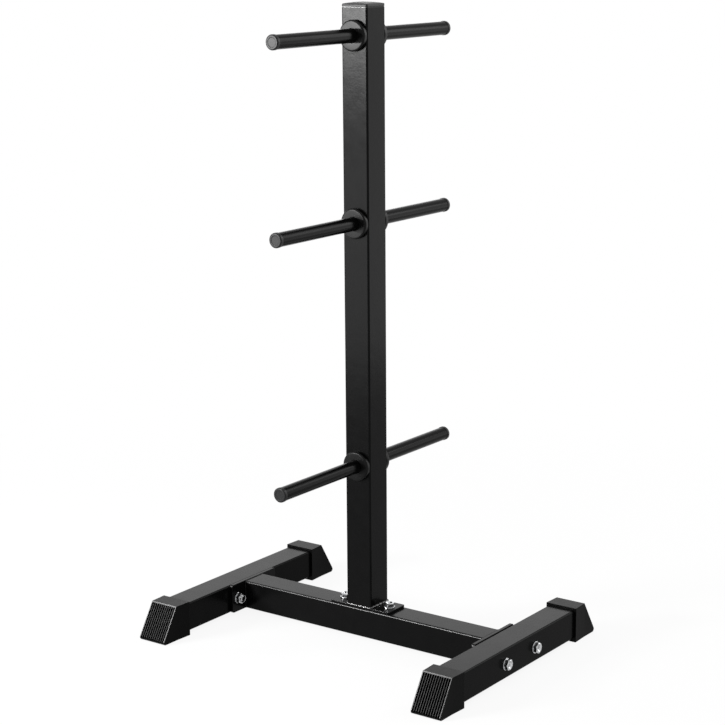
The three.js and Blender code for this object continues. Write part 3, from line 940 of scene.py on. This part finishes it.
class PLATETREE_OT_base_plate(bpy.types.Operator):
    """Builds the plate under the mast"""

    bl_idname = "plate_tree.base_plate"
    bl_label = "Mast base plate"

    def execute(self, context):
        low, high, size = node_size("mast_base_plate")
        corner = settings("steel").base_plate_corner
        place = Matrix.Translation((0, 0, low.z))
        plate = rounded_plate(size.x / 2, size.y / 2, corner, size.z, place)
        cutters = bolt_drills(MAST_BOLTS, "z", low.z - size.z, high.z + size.z)
        dress("mast_base_plate", smooth_rounds(bored(plate, cutters)), "powder_coat")
        return {"FINISHED"}


class PLATETREE_OT_end_plates(bpy.types.Operator):
    """Builds the plates on the ends of the beam"""

    bl_idname = "plate_tree.end_plates"
    bl_label = "Beam end plates"

    def execute(self, context):
        corner = settings("steel").end_plate_corner
        for side in SIDES:
            node = "beam_end_plate_" + side
            low, high, size = node_size(node)
            start = node_middle(node)
            start.x = low.x
            place = Matrix.Translation(start) @ TUBE_TURNS["x"]
            plate = rounded_plate(size.z / 2, size.y / 2, corner, size.x, place)
            cutters = bolt_drills(foot_bolts(side), "x", low.x - size.x, high.x + size.x)
            dress(node, smooth_rounds(bored(plate, cutters)), "powder_coat")
        return {"FINISHED"}


# Weld beads


def weld_path(name, stations, closed):
    """A line of edges through (point, radius) stations."""
    mesh = bpy.data.meshes.new(name)
    count = len(stations)
    edges = [(place, place + 1) for place in range(count - 1)]
    if closed:
        edges.append((count - 1, 0))
    mesh.from_pydata([point for point, _ in stations], edges, [])
    radius = mesh.attributes.new("radius", "FLOAT", "POINT")
    radius.data.foreach_set("value", [value for _, value in stations])
    return mesh


def add_lumps(mesh, lumps):
    """Adds flattened drops to the mesh, each at (place, half its length)."""
    welds = settings("welds")
    sideways = Vector((1, 0, 0))
    facing = Vector((0, -math.cos(welds.lump_lean), math.sin(welds.lump_lean)))
    axes = (sideways, facing.cross(sideways), facing)
    with edited(mesh) as shape:
        for place, half_length in lumps:
            sizes = (half_length, welds.lump_width / 2, welds.lump_width * LUMP_THINNESS / 2)
            turn = Matrix([axis * size for axis, size in zip(axes, sizes)]).transposed().to_4x4()
            bmesh.ops.create_uvsphere(
                shape,
                u_segments=LUMP_SEGMENTS,
                v_segments=LUMP_RINGS,
                radius=1.0,
                matrix=Matrix.Translation(place) @ turn,
            )


def weld_bead(node, stations, seed, finish, closed=False, lumps=()):
    """A rippled bead through the stations, finished as the piece for that node."""
    welds = settings("welds")
    values = {
        "Pitch": welds.pitch,
        "Ripple": welds.ripple,
        "Wander": welds.wander,
        "Seed": seed,
    }
    mesh = run_tree(weld_bead_tree, weld_path(node, stations, closed), finish, values)
    add_lumps(mesh, lumps)
    dress(node, smooth_rounds(mesh), finish)


class PLATETREE_OT_welds(bpy.types.Operator):
    """Builds the weld beads at the mast's foot and round the ends of the beam"""

    bl_idname = "plate_tree.welds"
    bl_label = "Weld beads"

    def execute(self, context):
        self.mast_bead()
        for side, seed in BEAM_SEEDS.items():
            self.beam_bead(side, seed)
        return {"FINISHED"}

    def mast_bead(self):
        """The bead round the mast's foot, thick on its sides and lumpy on its front."""
        welds, corner = settings("welds"), settings("steel").tube_corner
        low, high, _ = node_size("mast_tube")
        stations = []
        for x, y in rounded_rectangle(high.x, high.y, corner):
            beside = min(1.0, max(0.0, (abs(x) - high.x + corner) / corner))
            radius = welds.front_radius + (welds.side_radius - welds.front_radius) * beside
            stations.append((Vector((x, y, low.z + radius * MAST_LIFT)), radius))
        sink = welds.lump_width * LUMP_SINK
        reach = welds.front_radius * math.cos(welds.lump_lean) - sink
        rise = welds.front_radius * (MAST_LIFT + math.sin(welds.lump_lean)) - sink
        lumps = [(Vector((x, low.y - reach, low.z + rise)), half) for x, half in FRONT_LUMPS]
        weld_bead("mast_weld_bead", stations, MAST_SEED, "powder_coat_thick", True, lumps)

    def beam_bead(self, side, seed):
        """The bead up the rear of the beam's end, over its top and down its front."""
        welds, corner = settings("welds"), settings("steel").tube_corner
        _, high, size = node_size("cross_beam")
        direction = SIDES[side]
        x = face_of("cross_beam", "x", direction) - direction * welds.beam_radius * BEAM_INSET
        middle = node_middle("cross_beam").z
        outline = rounded_rectangle(high.y, size.z / 2, corner)
        # from the lower rear corner up and over to the lower front corner
        lower_rear = 3 * len(outline) // 4
        run = outline[lower_rear:] + outline[:lower_rear]
        above = [(y, z) for y, z in run if z > -high.y + corner * BEAD_FOOT]
        turned_up = -high.y + 2 * welds.beam_radius
        stations = []
        for y, z in [(above[0][0], turned_up), *above, (above[-1][0], turned_up)]:
            upper = z > high.y - corner * BEAD_SHOULDER
            radius = welds.beam_radius * (TOP_THINNESS if upper else 1.0)
            sink = radius * TOP_SINK if upper else 0.0
            stations.append((Vector((x, y, middle + z - sink)), radius))
        weld_bead("beam_weld_bead_" + side, stations, seed, "powder_coat")


# Pegs, collars and plastic caps


def along_y(y, z, direction):
    """A place on the axis of a peg, with local Z pointing to the front or the rear."""
    return Matrix.Translation((0, y, z)) @ Matrix.Rotation(-direction * QUARTER_TURN, 4, "X")


def put_on_pegs(mesh, kind, distance, finish):
    """Puts a copy of the mesh on both ends of each peg, that far from the middle."""
    for level, height in peg_heights().items():
        for end, direction in ENDS.items():
            place = along_y(direction * distance, height, direction)
            dress(f"{kind}_{level}_{end}", placed_copy(mesh, place), finish)


class PLATETREE_OT_pegs(bpy.types.Operator):
    """Builds the three peg tubes"""

    bl_idname = "plate_tree.pegs"
    bl_label = "Peg tubes"

    def execute(self, context):
        steel = settings("steel")
        outer, edge = steel.peg_diameter / 2, steel.cut_edge
        bore = outer - steel.peg_wall
        near_end = [(bore, edge), (bore + edge, 0.0), (outer - edge, 0.0), (outer, edge)]
        for level, height in peg_heights().items():
            node = "peg_tube_" + level
            low, _, size = node_size(node)
            far_end = [(radius, size.y - rise) for radius, rise in reversed(near_end)]
            place = along_y(low.y, height, 1)
            mesh = lathe(node, near_end + far_end, closed=True, place=place)
            dress(node, smooth_rounds(mesh), "powder_coat")
        return {"FINISHED"}


class PLATETREE_OT_collars(bpy.types.Operator):
    """Builds the six collars"""

    bl_idname = "plate_tree.collars"
    bl_label = "Collars"

    def execute(self, context):
        steel = settings("steel")
        low, _, size = node_size("peg_collar_top_rear")
        outer, bore = size.x / 2, steel.peg_diameter / 2 + steel.peg_gap
        edge, thick = steel.collar_bore_edge, size.y
        part = edge * EDGE_MIDDLE
        profile = [(bore, 0.0), (outer - edge, 0.0), (outer - part, part), (outer, edge)]
        profile += round_off(outer, thick, steel.collar_edge)
        profile += [(bore + edge, thick), (bore + part, thick - part), (bore, thick - edge)]
        collar = smooth_rounds(lathe("collar", profile, closed=True))
        put_on_pegs(collar, "peg_collar", low.y, "powder_coat_satin")
        return {"FINISHED"}


class PLATETREE_OT_peg_caps(bpy.types.Operator):
    """Builds the six end caps of the pegs"""

    bl_idname = "plate_tree.peg_caps"
    bl_label = "Peg end caps"

    def execute(self, context):
        steel, caps = settings("steel"), settings("caps")
        _, high, size = node_size("peg_end_cap_top_rear")
        radius, dish = size.x / 2, caps.tip_dish / 2
        stem = steel.peg_diameter / 2 - steel.peg_wall - caps.skirt_gap
        bore = stem - caps.skirt_wall
        back, thick, edge = -caps.tip_stem, caps.tip_flange, caps.tip_back_edge
        floor = thick - caps.tip_dish_depth
        profile = [(0.0, 0.0), (bore, 0.0), (bore, back), (stem - edge, back)]
        profile += [(stem, back + edge), (stem, 0.0), (radius - edge, 0.0), (radius, edge)]
        profile += round_off(radius, thick, caps.tip_edge)
        profile += [(dish + edge, thick), (dish, thick - edge * DISH_LIP)]
        profile += [(dish - edge, floor), (0.0, floor)]
        cap = smooth_rounds(lathe("cap", profile))
        put_on_pegs(cap, "peg_end_cap", high.y - thick, "moulded_plastic")
        return {"FINISHED"}


def crowned(half, reach, corner, base):
    """A ring of that reach on the crown of the mast's cap, whose corners lie on the base."""
    crown = settings("caps").crown
    return [
        Vector((x, y, base + crown * (1 - (x * x + y * y) / (2 * half * half))))
        for x, y in rounded_rectangle(reach, reach, corner)
    ]


class PLATETREE_OT_mast_cap(bpy.types.Operator):
    """Builds the crowned cap in the top of the mast"""

    bl_idname = "plate_tree.mast_cap"
    bl_label = "Mast cap"

    def execute(self, context):
        steel, caps = settings("steel"), settings("caps")
        low, high, size = node_size("mast_top_cap")
        half, edge = size.x / 2, caps.flange_edge
        seat = high.z - caps.flange - caps.crown
        plug = half - steel.tube_wall - caps.skirt_gap
        bore = plug - caps.skirt_wall
        inner, outer = steel.tube_inner_corner, steel.tube_corner
        under = edge / 3
        levels = (
            (bore, inner, seat + caps.flange / 2),
            (bore, inner, low.z),
            (plug - under, inner, low.z),
            (plug, inner, low.z + under),
            (plug, inner, seat),
            (half - under, outer - under, seat),
            (half, outer, seat + under),
        )
        rings = [level_ring(reach, reach, corner, height) for reach, corner, height in levels]
        brim = seat + caps.flange
        for inset, setback in edge_steps(edge):
            rings.append(crowned(half, half - inset, outer - inset, brim - setback))
        for step in range(1, 2 * CORNER_STEPS + 1):
            reach = (half - edge) * (1 - step / (2 * CORNER_STEPS))
            blend = min(1.0, step / CORNER_STEPS)
            corner = (outer - edge) * (1 - blend) + reach * blend
            rings.append(crowned(half, reach, min(corner, reach), brim))
        points, faces = skin(rings)
        # the last ring is the crown's middle, a single point, and needs no face
        mesh = clean_mesh("cap", points, faces[:-1])
        dress("mast_top_cap", smooth_rounds(mesh), "moulded_plastic")
        return {"FINISHED"}


# Rubber foot caps


class FootCapForm:
    """The shape of a foot cap: X across, Y outwards from the sleeve's rim, Z up from the floor."""

    def __init__(self):
        self.caps = caps = settings("caps")
        _, _, size = node_size("foot_cap_right_rear")
        _, _, tube = node_size("foot_tube_right")
        self.half_x, self.height = size.x / 2, size.z
        self.slope = math.atan2(size.z, caps.foot_bottom - caps.foot_top)
        self.down_slope = Vector((0, math.cos(self.slope), -math.sin(self.slope)))
        self.tip_y = caps.foot_bottom - caps.foot_tip / math.tan(self.slope / 2)
        self.pocket_half = tube.x / 2 + caps.skirt_gap
        self.pocket_middle = node_middle("foot_tube_right").z

    def side_view(self, inset, face_inset):
        """Outline (y, z) from the side, drawn in at top and sole, and at the rim and the slope."""
        caps, slope = self.caps, self.slope
        outline = [(face_inset, inset), (caps.foot_top, inset)]
        for step in range(CORNER_STEPS + 1):
            part = step / CORNER_STEPS
            turn = (HALF_TURN - slope) * part - QUARTER_TURN
            radius = caps.foot_tip - inset * (1 - part) - face_inset * part
            y = self.tip_y + radius * math.cos(turn)
            outline.append((y, caps.foot_tip + radius * math.sin(turn)))
        top = caps.foot_top + (inset * math.cos(slope) - face_inset) / math.sin(slope)
        return outline + [(top, self.height - inset), (face_inset, self.height - inset)]

    def half_width(self, y):
        """Half the cap's width, which draws in from the rim to the top of the slope."""
        return self.half_x - self.caps.foot_draft * min(1.0, y / self.caps.foot_top)

    def body(self):
        """The cap without its pocket and its grooves."""
        caps = self.caps
        rings = []
        # from the left face over both edges to the right face
        for side in SIDES.values():
            for inset, setback in edge_steps(1.0)[::side]:
                shift = setback * caps.foot_side_edge
                outline = self.side_view(inset * caps.foot_corner, inset * caps.foot_edge)
                ring = [(side * (self.half_width(y) - shift), y, z) for y, z in outline]
                rings.append([Vector(point) for point in ring])
        points, faces = skin(rings)
        count = len(rings[0])
        faces = faces[:-2]
        # each side is a level sleeve and a wedge, which lean apart
        for first in (0, len(points) - count):
            faces.append((first, first + 1, first + count - 2, first + count - 1))
            faces.append(tuple(range(first + 1, first + count - 1)))
        return clean_mesh("foot_cap", points, faces)

    def pocket(self):
        """The space that the tube's end takes up in the sleeve."""
        corner = settings("steel").tube_corner + self.caps.skirt_gap
        outline = rounded_rectangle(self.pocket_half, self.pocket_half, corner, self.pocket_middle)
        ends = (-self.caps.foot_wall, self.caps.foot_pocket)
        return clean_mesh("pocket", *skin([[Vector((x, y, z)) for x, z in outline] for y in ends]))

    def on_slope(self, along, depth):
        """The point at a distance down the slope from its top edge and a depth below it."""
        inwards = Vector((0, -math.sin(self.slope), -math.cos(self.slope)))
        top_edge = Vector((0.0, self.caps.foot_top, self.height))
        return top_edge + self.down_slope * along + inwards * depth

    def mark_ribs(self, mesh, half_room):
        """Marks the faces of the ribs for the rubber."""
        rim = self.on_slope(self.caps.rib_rim, 0.0)
        with edited(mesh) as shape:
            split(shape, rim, self.down_slope)
            mark = shape.faces.layers.float.new(RIB_MARK)
            for face in shape.faces:
                place = face.calc_center_median()
                below = (place - rim).dot(self.down_slope) > 0
                face[mark] = float(below and abs(place.x) < half_room)

    def ribbed(self):
        """The whole cap. The grooves narrow from mouth to floor, so that ribs have thin crests."""
        caps = self.caps
        room = 2 * (self.half_width(caps.foot_top) - caps.rib_rim)
        floor = (room - caps.rib_count * caps.rib_width) / (caps.rib_count + 1)
        spacing = floor + caps.rib_width
        lean = (caps.rib_width - caps.rib_crest) / caps.rib_depth
        rise = caps.rib_crest / lean * CUTTER_RISE
        middle = (caps.rib_depth - rise) / 2
        foot = self.height / math.sin(self.slope) - caps.rib_foot
        values = {
            "Start": self.on_slope(caps.rib_rim, middle),
            "End": self.on_slope(foot, middle),
            "Count": caps.rib_count + 1,
            "Spacing": spacing,
            "Floor Width": floor,
            "Mouth Width": spacing - caps.rib_crest + rise * lean,
            "Height": caps.rib_depth + rise,
            "Rounding": rise / 2,
        }
        hollow = bored(self.body(), [self.pocket()])
        mesh = run_tree(foot_cap_groove_tree, hollow, "foot_rubber", values)
        self.mark_ribs(mesh, room / 2)
        return mesh


class PLATETREE_OT_foot_caps(bpy.types.Operator):
    """Builds the four ribbed rubber foot caps"""

    bl_idname = "plate_tree.foot_caps"
    bl_label = "Foot caps"

    def execute(self, context):
        cap = smooth_rounds(FootCapForm().ribbed())
        for side in SIDES:
            for end, direction in ENDS.items():
                node = f"foot_cap_{side}_{end}"
                rim = face_of(node, "y", -direction)
                turn = Matrix.Rotation(0.0 if direction > 0 else HALF_TURN, 4, "Z")
                start = (node_middle(node).x, rim, face_of(node, "z", -1))
                dress(node, placed_copy(cap, Matrix.Translation(start) @ turn), "foot_rubber")
        return {"FINISHED"}


# Fasteners; local Z = 0 is the face that bears on the washer


def hex_radius(turn):
    """The radius of a head or nut at an angle, with eased corners."""
    fasteners = settings("fasteners")
    flat = fasteners.across_flats / 2
    limit = flat / math.cos(HEX_SECTOR / 2) - fasteners.hex_easing
    return min(limit, flat / math.cos((turn % HEX_SECTOR) - HEX_SECTOR / 2))


def hex_profile(height, face_radius):
    """Stations of a hexagon with a chamfered top that ends in a flat circle."""
    fillet = settings("fasteners").fillet

    def shoulder(turn):
        wall = hex_radius(turn)
        return wall, height - max(0.0, wall - face_radius) * HEX_CHAMFER

    return [
        lambda turn: (hex_radius(turn) - fillet, 0.0),
        lambda turn: (hex_radius(turn), fillet),
        shoulder,
        (face_radius + fillet / 2, height - fillet / 2 * HEX_CHAMFER),
        (face_radius - fillet / 2, height),
    ]


def thread_station(height, from_tip, turn):
    """(radius, height) of a threaded shank at an angle, that far from its tip."""
    fasteners = settings("fasteners")
    phase = (height / fasteners.thread_pitch - turn / FULL_TURN) % 1.0
    groove = fasteners.thread_depth * (1 - abs(2 * phase - 1))
    chamfer = max(0.0, fasteners.tip_chamfer - from_tip)
    return fasteners.bolt_diameter / 2 - max(groove, chamfer), height


def threaded(bottom, top):
    """Stations of a threaded shank from its tip up to the top height."""
    count = max(1, round((top - bottom) / settings("fasteners").thread_pitch * THREAD_STEPS))
    heights = [bottom + (top - bottom) * step / count for step in range(count + 1)]
    return [functools.partial(thread_station, height, height - bottom) for height in heights]


def hex_bolt(shank_length):
    """A hex bolt with a dished head and a threaded end."""
    fasteners = settings("fasteners")
    radius, height = fasteners.bolt_diameter / 2, fasteners.head_height
    dish, dish_floor = fasteners.head_dish / 2, fasteners.head_dish_floor / 2
    floor = height - fasteners.head_dish_depth
    rim = fasteners.fillet
    thread_top = min(-fasteners.plain_neck, fasteners.thread_length - shank_length)
    profile = [(0.0, -shank_length), *threaded(-shank_length, thread_top)]
    profile += [(radius, thread_top + fasteners.thread_end), (radius, 0.0)]
    profile += hex_profile(height, fasteners.head_face / 2)
    profile += [(dish + rim, height), (dish, height - rim / 2), (dish_floor, floor), (0.0, floor)]
    return smooth_rounds(lathe("bolt", profile))


def washer():
    """A flat washer that stands on Z = 0."""
    fasteners = settings("fasteners")
    _, _, size = node_size("mast_bolt_washer_left")
    outer, bore = size.x / 2, fasteners.bolt_diameter / 2 + fasteners.washer_gap
    edge = fasteners.washer_edge
    half = edge / 2
    profile = [(bore, half), (bore + half, 0.0), (outer - half, 0.0), (outer, half)]
    profile += round_off(outer, size.z, edge)
    profile += [(bore + half, size.z), (bore, size.z - half)]
    return smooth_rounds(lathe("washer", profile, closed=True))


def lock_nut():
    """A lock nut with a rolled crown."""
    fasteners = settings("fasteners")
    _, _, size = node_size("lock_nut_left_front")
    bore = fasteners.bolt_diameter / 2 + fasteners.nut_gap
    crown, lip = fasteners.nut_crown / 2, fasteners.nut_lip / 2
    draft, shoulder, height = fasteners.crown_draft, fasteners.nut_shoulder, size.x
    profile = [(bore, 0.0), *hex_profile(shoulder, crown + fasteners.nut_ledge)]
    profile += [(crown + draft / 2, shoulder), (crown - draft, shoulder + fasteners.crown_foot)]
    roll = (crown - lip) / 2
    for step in range(2 * EDGE_STEPS + 1):
        turn = HALF_TURN * step / (2 * EDGE_STEPS)
        radius = lip + roll + (roll - draft) * math.cos(turn)
        profile.append((radius, height - roll * (1 - math.sin(turn))))
    seat = lip + 2 * draft
    profile += [(seat, height - 2 * roll), (seat, shoulder), (bore, shoulder)]
    return smooth_rounds(lathe("nut", profile, closed=True))


def nut_insert():
    """The plastic ring inside a lock nut's crown."""
    fasteners = settings("fasteners")
    _, _, size = node_size("lock_nut_left_front")
    gap, edge = fasteners.insert_gap, fasteners.insert_edge
    bore = fasteners.bolt_diameter / 2 + gap
    outer = fasteners.nut_lip / 2 + 2 * fasteners.crown_draft - gap
    low, high = fasteners.nut_shoulder + gap, size.x - fasteners.insert_depth
    profile = [(bore, low), (outer, low), (outer, high - edge), (outer - edge, high)]
    profile += [(bore + edge, high), (bore, high - edge)]
    return smooth_rounds(lathe("insert", profile, closed=True))


def along_x(mesh, axis, x, direction, spin=0.0):
    """A copy of the mesh on a bolt's axis, pointing to the left or the right and spun."""
    place = Matrix.Translation((x, axis.y, axis.z))
    turn = Matrix.Rotation(direction * QUARTER_TURN, 4, "Y")
    return placed_copy(mesh, place @ turn @ Matrix.Rotation(spin, 4, "Z"))


class PLATETREE_OT_mast_bolts(bpy.types.Operator):
    """Builds the two bolts and washers that hold the mast's base plate"""

    bl_idname = "plate_tree.mast_bolts"
    bl_label = "Mast bolts"

    def execute(self, context):
        head = settings("fasteners").head_height
        _, _, size = node_size("mast_bolt_left")
        bolt, ring = hex_bolt(size.z - head), washer()
        for side, spin in MAST_BOLT_SPINS.items():
            node, washer_node = "mast_bolt_" + side, "mast_bolt_washer_" + side
            x = node_middle(node).x
            place = Matrix.Translation((x, 0, face_of(node, "z", 1) - head))
            turn = Matrix.Rotation(spin, 4, "Z")
            dress(node, placed_copy(bolt, place @ turn), "bright_zinc")
            place = Matrix.Translation((x, 0, face_of(washer_node, "z", -1)))
            dress(washer_node, placed_copy(ring, place), "bright_zinc")
            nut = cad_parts["mast_weld_nut_" + side]
            nut.data.materials.clear()
            nut.data.materials.append(surface_material("bright_zinc"))
        return {"FINISHED"}


class PLATETREE_OT_foot_bolts(bpy.types.Operator):
    """Builds the bolts, washers and lock nuts that hold the feet"""

    bl_idname = "plate_tree.foot_bolts"
    bl_label = "Foot bolts and lock nuts"

    def execute(self, context):
        head = settings("fasteners").head_height
        _, _, size = node_size("foot_bolt_left_front")
        bolt, ring, nut, insert = hex_bolt(size.x - head), washer(), lock_nut(), nut_insert()
        spin = FOOT_BOLT_SPIN
        for side, direction in SIDES.items():
            for end in ENDS:
                label = f"_{side}_{end}"
                axis = node_middle("foot_bolt" + label)
                for node in ("foot_bolt_washer" + label, "lock_nut_washer" + label):
                    x = face_of(node, "x", -direction)
                    dress(node, along_x(ring, axis, x, direction), "bright_zinc")
                node = "foot_bolt" + label
                x = face_of(node, "x", direction) - direction * head
                dress(node, along_x(bolt, axis, x, direction, spin), "bright_zinc")
                node = "lock_nut" + label
                x = face_of(node, "x", direction)
                dress(node, along_x(nut, axis, x, -direction, spin / 2), "bright_zinc")
                plastic = along_x(insert, axis, x, -direction, spin / 2)
                finish_piece(node + "_insert", plastic, "moulded_plastic")
                spin += FOOT_BOLT_STEP
        return {"FINISHED"}


# Studio


def mixed(tree, factor, first, second):
    """A mix of two shaders."""
    return grow(tree, "ShaderNodeMixShader", {0: factor, 1: first, 2: second})


def seen_rays(tree):
    """1 for rays from the camera, from gloss and through glass, and 0 for the rest."""
    path = add_node(tree, "ShaderNodeLightPath").outputs
    shine = sum_of(tree, "MAXIMUM", path["Is Glossy Ray"], path["Is Transmission Ray"])
    return sum_of(tree, "MAXIMUM", path["Is Camera Ray"], shine)


def build_world():
    """White to the eye and in gloss, and a plain soft light on matt surfaces."""
    world = bpy.data.worlds.new("studio")
    world.use_nodes = True
    tree = world.node_tree
    tree.nodes.clear()
    light = settings("studio").room_light
    lit = grow(tree, "ShaderNodeBackground", {"Color": WHITE, "Strength": light})
    seen = grow(tree, "ShaderNodeBackground", {"Color": WHITE, "Strength": 1.0})
    add_node(tree, "ShaderNodeOutputWorld", {"Surface": mixed(tree, seen_rays(tree), lit, seen)})
    bpy.context.scene.world = world


def floor_material():
    """A pale matt floor that fades to plain white away from the object."""
    studio = settings("studio")
    material, tree = blank_shader("pale_floor")
    place = add_node(tree, "ShaderNodeTexCoord").outputs["Object"]
    measure = add_node(tree, "ShaderNodeVectorMath", {0: place}, operation="LENGTH")
    fade = {"Value": measure.outputs["Value"], "From Min": FADE_START, "From Max": FADE_END}
    fade.update({"To Min": studio.floor_white, "To Max": 1.0})
    white = grow(tree, "ShaderNodeMapRange", fade, interpolation_type="SMOOTHSTEP")
    speckles = {"Vector": place, "Scale": SPECKLE_SCALE, "Detail": SPECKLE_DETAIL}
    bumps = {"Height": grow(tree, "ShaderNodeTexNoise", speckles), "Distance": SPECKLE_HEIGHT}
    bump = grow(tree, "ShaderNodeBump", bumps)
    matt = {"Color": (*studio.floor_colour, 1.0), "Normal": bump}
    glow = grow(tree, "ShaderNodeEmission", {"Color": WHITE, "Strength": 1.0})
    amount = sum_of(tree, "MULTIPLY", seen_rays(tree), white)
    surface = mixed(tree, amount, grow(tree, "ShaderNodeBsdfDiffuse", matt), glow)
    add_node(tree, "ShaderNodeOutputMaterial", {"Surface": surface})
    return material


# place, width, height, and the height on the mast's axis that it looks at
SOFT_BOXES = {
    "key": ((-2.3, -2.82, 2.02), 1.2, 0.25, 0.05),
    "strip": ((-1.72, -2.84, 0.97), 0.9, 0.25, 0.55),
    "front": ((-1.15, -1.58, 0.32), 0.9, 0.6, 0.32),
    "right": ((1.15, 1.58, 0.56), 0.8, 1.04, 0.56),
    "high": ((1.15, 1.58, 1.76), 0.8, 1.3, 1.76),
    "back": ((-2.4, 2.9, 1.5), 2.8, 1.0, 0.3),
    "top": ((0.0, 0.0, 3.2), 3.0, 3.0, 0.5),
}


def soft_box(name, place, width, height, aim):
    """A rectangular lamp that looks at a height on the mast's axis."""
    lamp = bpy.data.lights.new(name, "AREA")
    lamp.shape = "RECTANGLE"
    lamp.size, lamp.size_y = width, height
    radiance = getattr(settings("studio"), name + "_light")
    lamp.energy = radiance * width * height * HALF_TURN
    item = loose_object(name, lamp)
    item.location = place
    look = Vector((0.0, 0.0, aim)) - Vector(place)
    item.rotation_euler = look.to_track_quat("-Z", "Y").to_euler()
    item.visible_camera = False


def build_camera():
    """The camera at the viewing angle of the photograph."""
    studio = settings("studio")
    azimuth, elevation = studio.camera_azimuth, studio.camera_elevation
    level = Vector((math.cos(azimuth), math.sin(azimuth), 0.0))
    ahead = Vector((-math.sin(azimuth), math.cos(azimuth), 0.0))
    forward = ahead * math.cos(elevation) - Vector((0.0, 0.0, math.sin(elevation)))
    down = forward.cross(level)
    roll = studio.camera_roll
    right = level * math.cos(roll) + down * math.sin(roll)
    up = level * math.sin(roll) - down * math.cos(roll)
    data = bpy.data.cameras.new("camera")
    data.sensor_width, data.lens = SENSOR_WIDTH, studio.camera_lens
    data.clip_start, data.clip_end = CLIP_START, CLIP_END
    camera = loose_object("camera", data)
    axes = Matrix((right, up, -forward)).transposed().to_4x4()
    camera.matrix_world = Matrix.Translation(studio.camera_place) @ axes
    bpy.context.scene.camera = camera


class PLATETREE_OT_stage(bpy.types.Operator):
    """Builds the floor, the lamps, the world and the camera"""

    bl_idname = "plate_tree.stage"
    bl_label = "Studio"

    def execute(self, context):
        half = settings("studio").floor_size / 2
        mesh = bpy.data.meshes.new("floor")
        corners = [(-half, -half, 0), (half, -half, 0), (half, half, 0), (-half, half, 0)]
        mesh.from_pydata(corners, [], [(0, 1, 2, 3)])
        mesh.materials.append(floor_material())
        floor = loose_object("floor", mesh)
        build_world()
        for name, form in SOFT_BOXES.items():
            soft_box(name, *form)
        build_camera()
        context.scene.view_settings.view_transform = "Standard"
        return {"FINISHED"}


# Panel and start

OPERATORS = (
    PLATETREE_OT_mast,
    PLATETREE_OT_beam,
    PLATETREE_OT_feet,
    PLATETREE_OT_base_plate,
    PLATETREE_OT_end_plates,
    PLATETREE_OT_welds,
    PLATETREE_OT_pegs,
    PLATETREE_OT_collars,
    PLATETREE_OT_peg_caps,
    PLATETREE_OT_mast_cap,
    PLATETREE_OT_foot_caps,
    PLATETREE_OT_mast_bolts,
    PLATETREE_OT_foot_bolts,
    PLATETREE_OT_stage,
)

PROPERTY_GROUPS = {
    "steel": PlateTreeSteel,
    "welds": PlateTreeWelds,
    "caps": PlateTreeCaps,
    "fasteners": PlateTreeFasteners,
    "finishes": PlateTreeFinishes,
    "studio": PlateTreeStudio,
}


class PLATETREE_PT_panel(bpy.types.Panel):
    """Lists the plate tree's pieces and its sizes"""

    bl_idname = "PLATETREE_PT_panel"
    bl_label = "Plate Tree"
    bl_space_type = "VIEW_3D"
    bl_region_type = "UI"
    bl_category = "Plate Tree"

    def draw(self, context):
        for name, group in PROPERTY_GROUPS.items():
            box = self.layout.box()
            box.label(text=name.capitalize())
            for key in group.__annotations__:
                box.prop(settings(name), key)
        for operator in OPERATORS:
            self.layout.operator(operator.bl_idname)


def register():
    """Registers the property groups, the operators and the panel."""
    for name, group in PROPERTY_GROUPS.items():
        bpy.utils.register_class(group)
        setattr(bpy.types.Scene, "plate_tree_" + name, PointerProperty(type=group))
    for kind in (*OPERATORS, PLATETREE_PT_panel):
        bpy.utils.register_class(kind)


def unregister():
    """Takes back what register did."""
    for kind in (PLATETREE_PT_panel, *reversed(OPERATORS)):
        bpy.utils.unregister_class(kind)
    for name, group in reversed(PROPERTY_GROUPS.items()):
        delattr(bpy.types.Scene, "plate_tree_" + name)
        bpy.utils.unregister_class(group)


def main():
    """Builds every piece and the stage."""
    register()
    for operator in OPERATORS:
        family, name = operator.bl_idname.split(".")
        getattr(getattr(bpy.ops, family), name)()


if __name__ == "__main__":
    main()
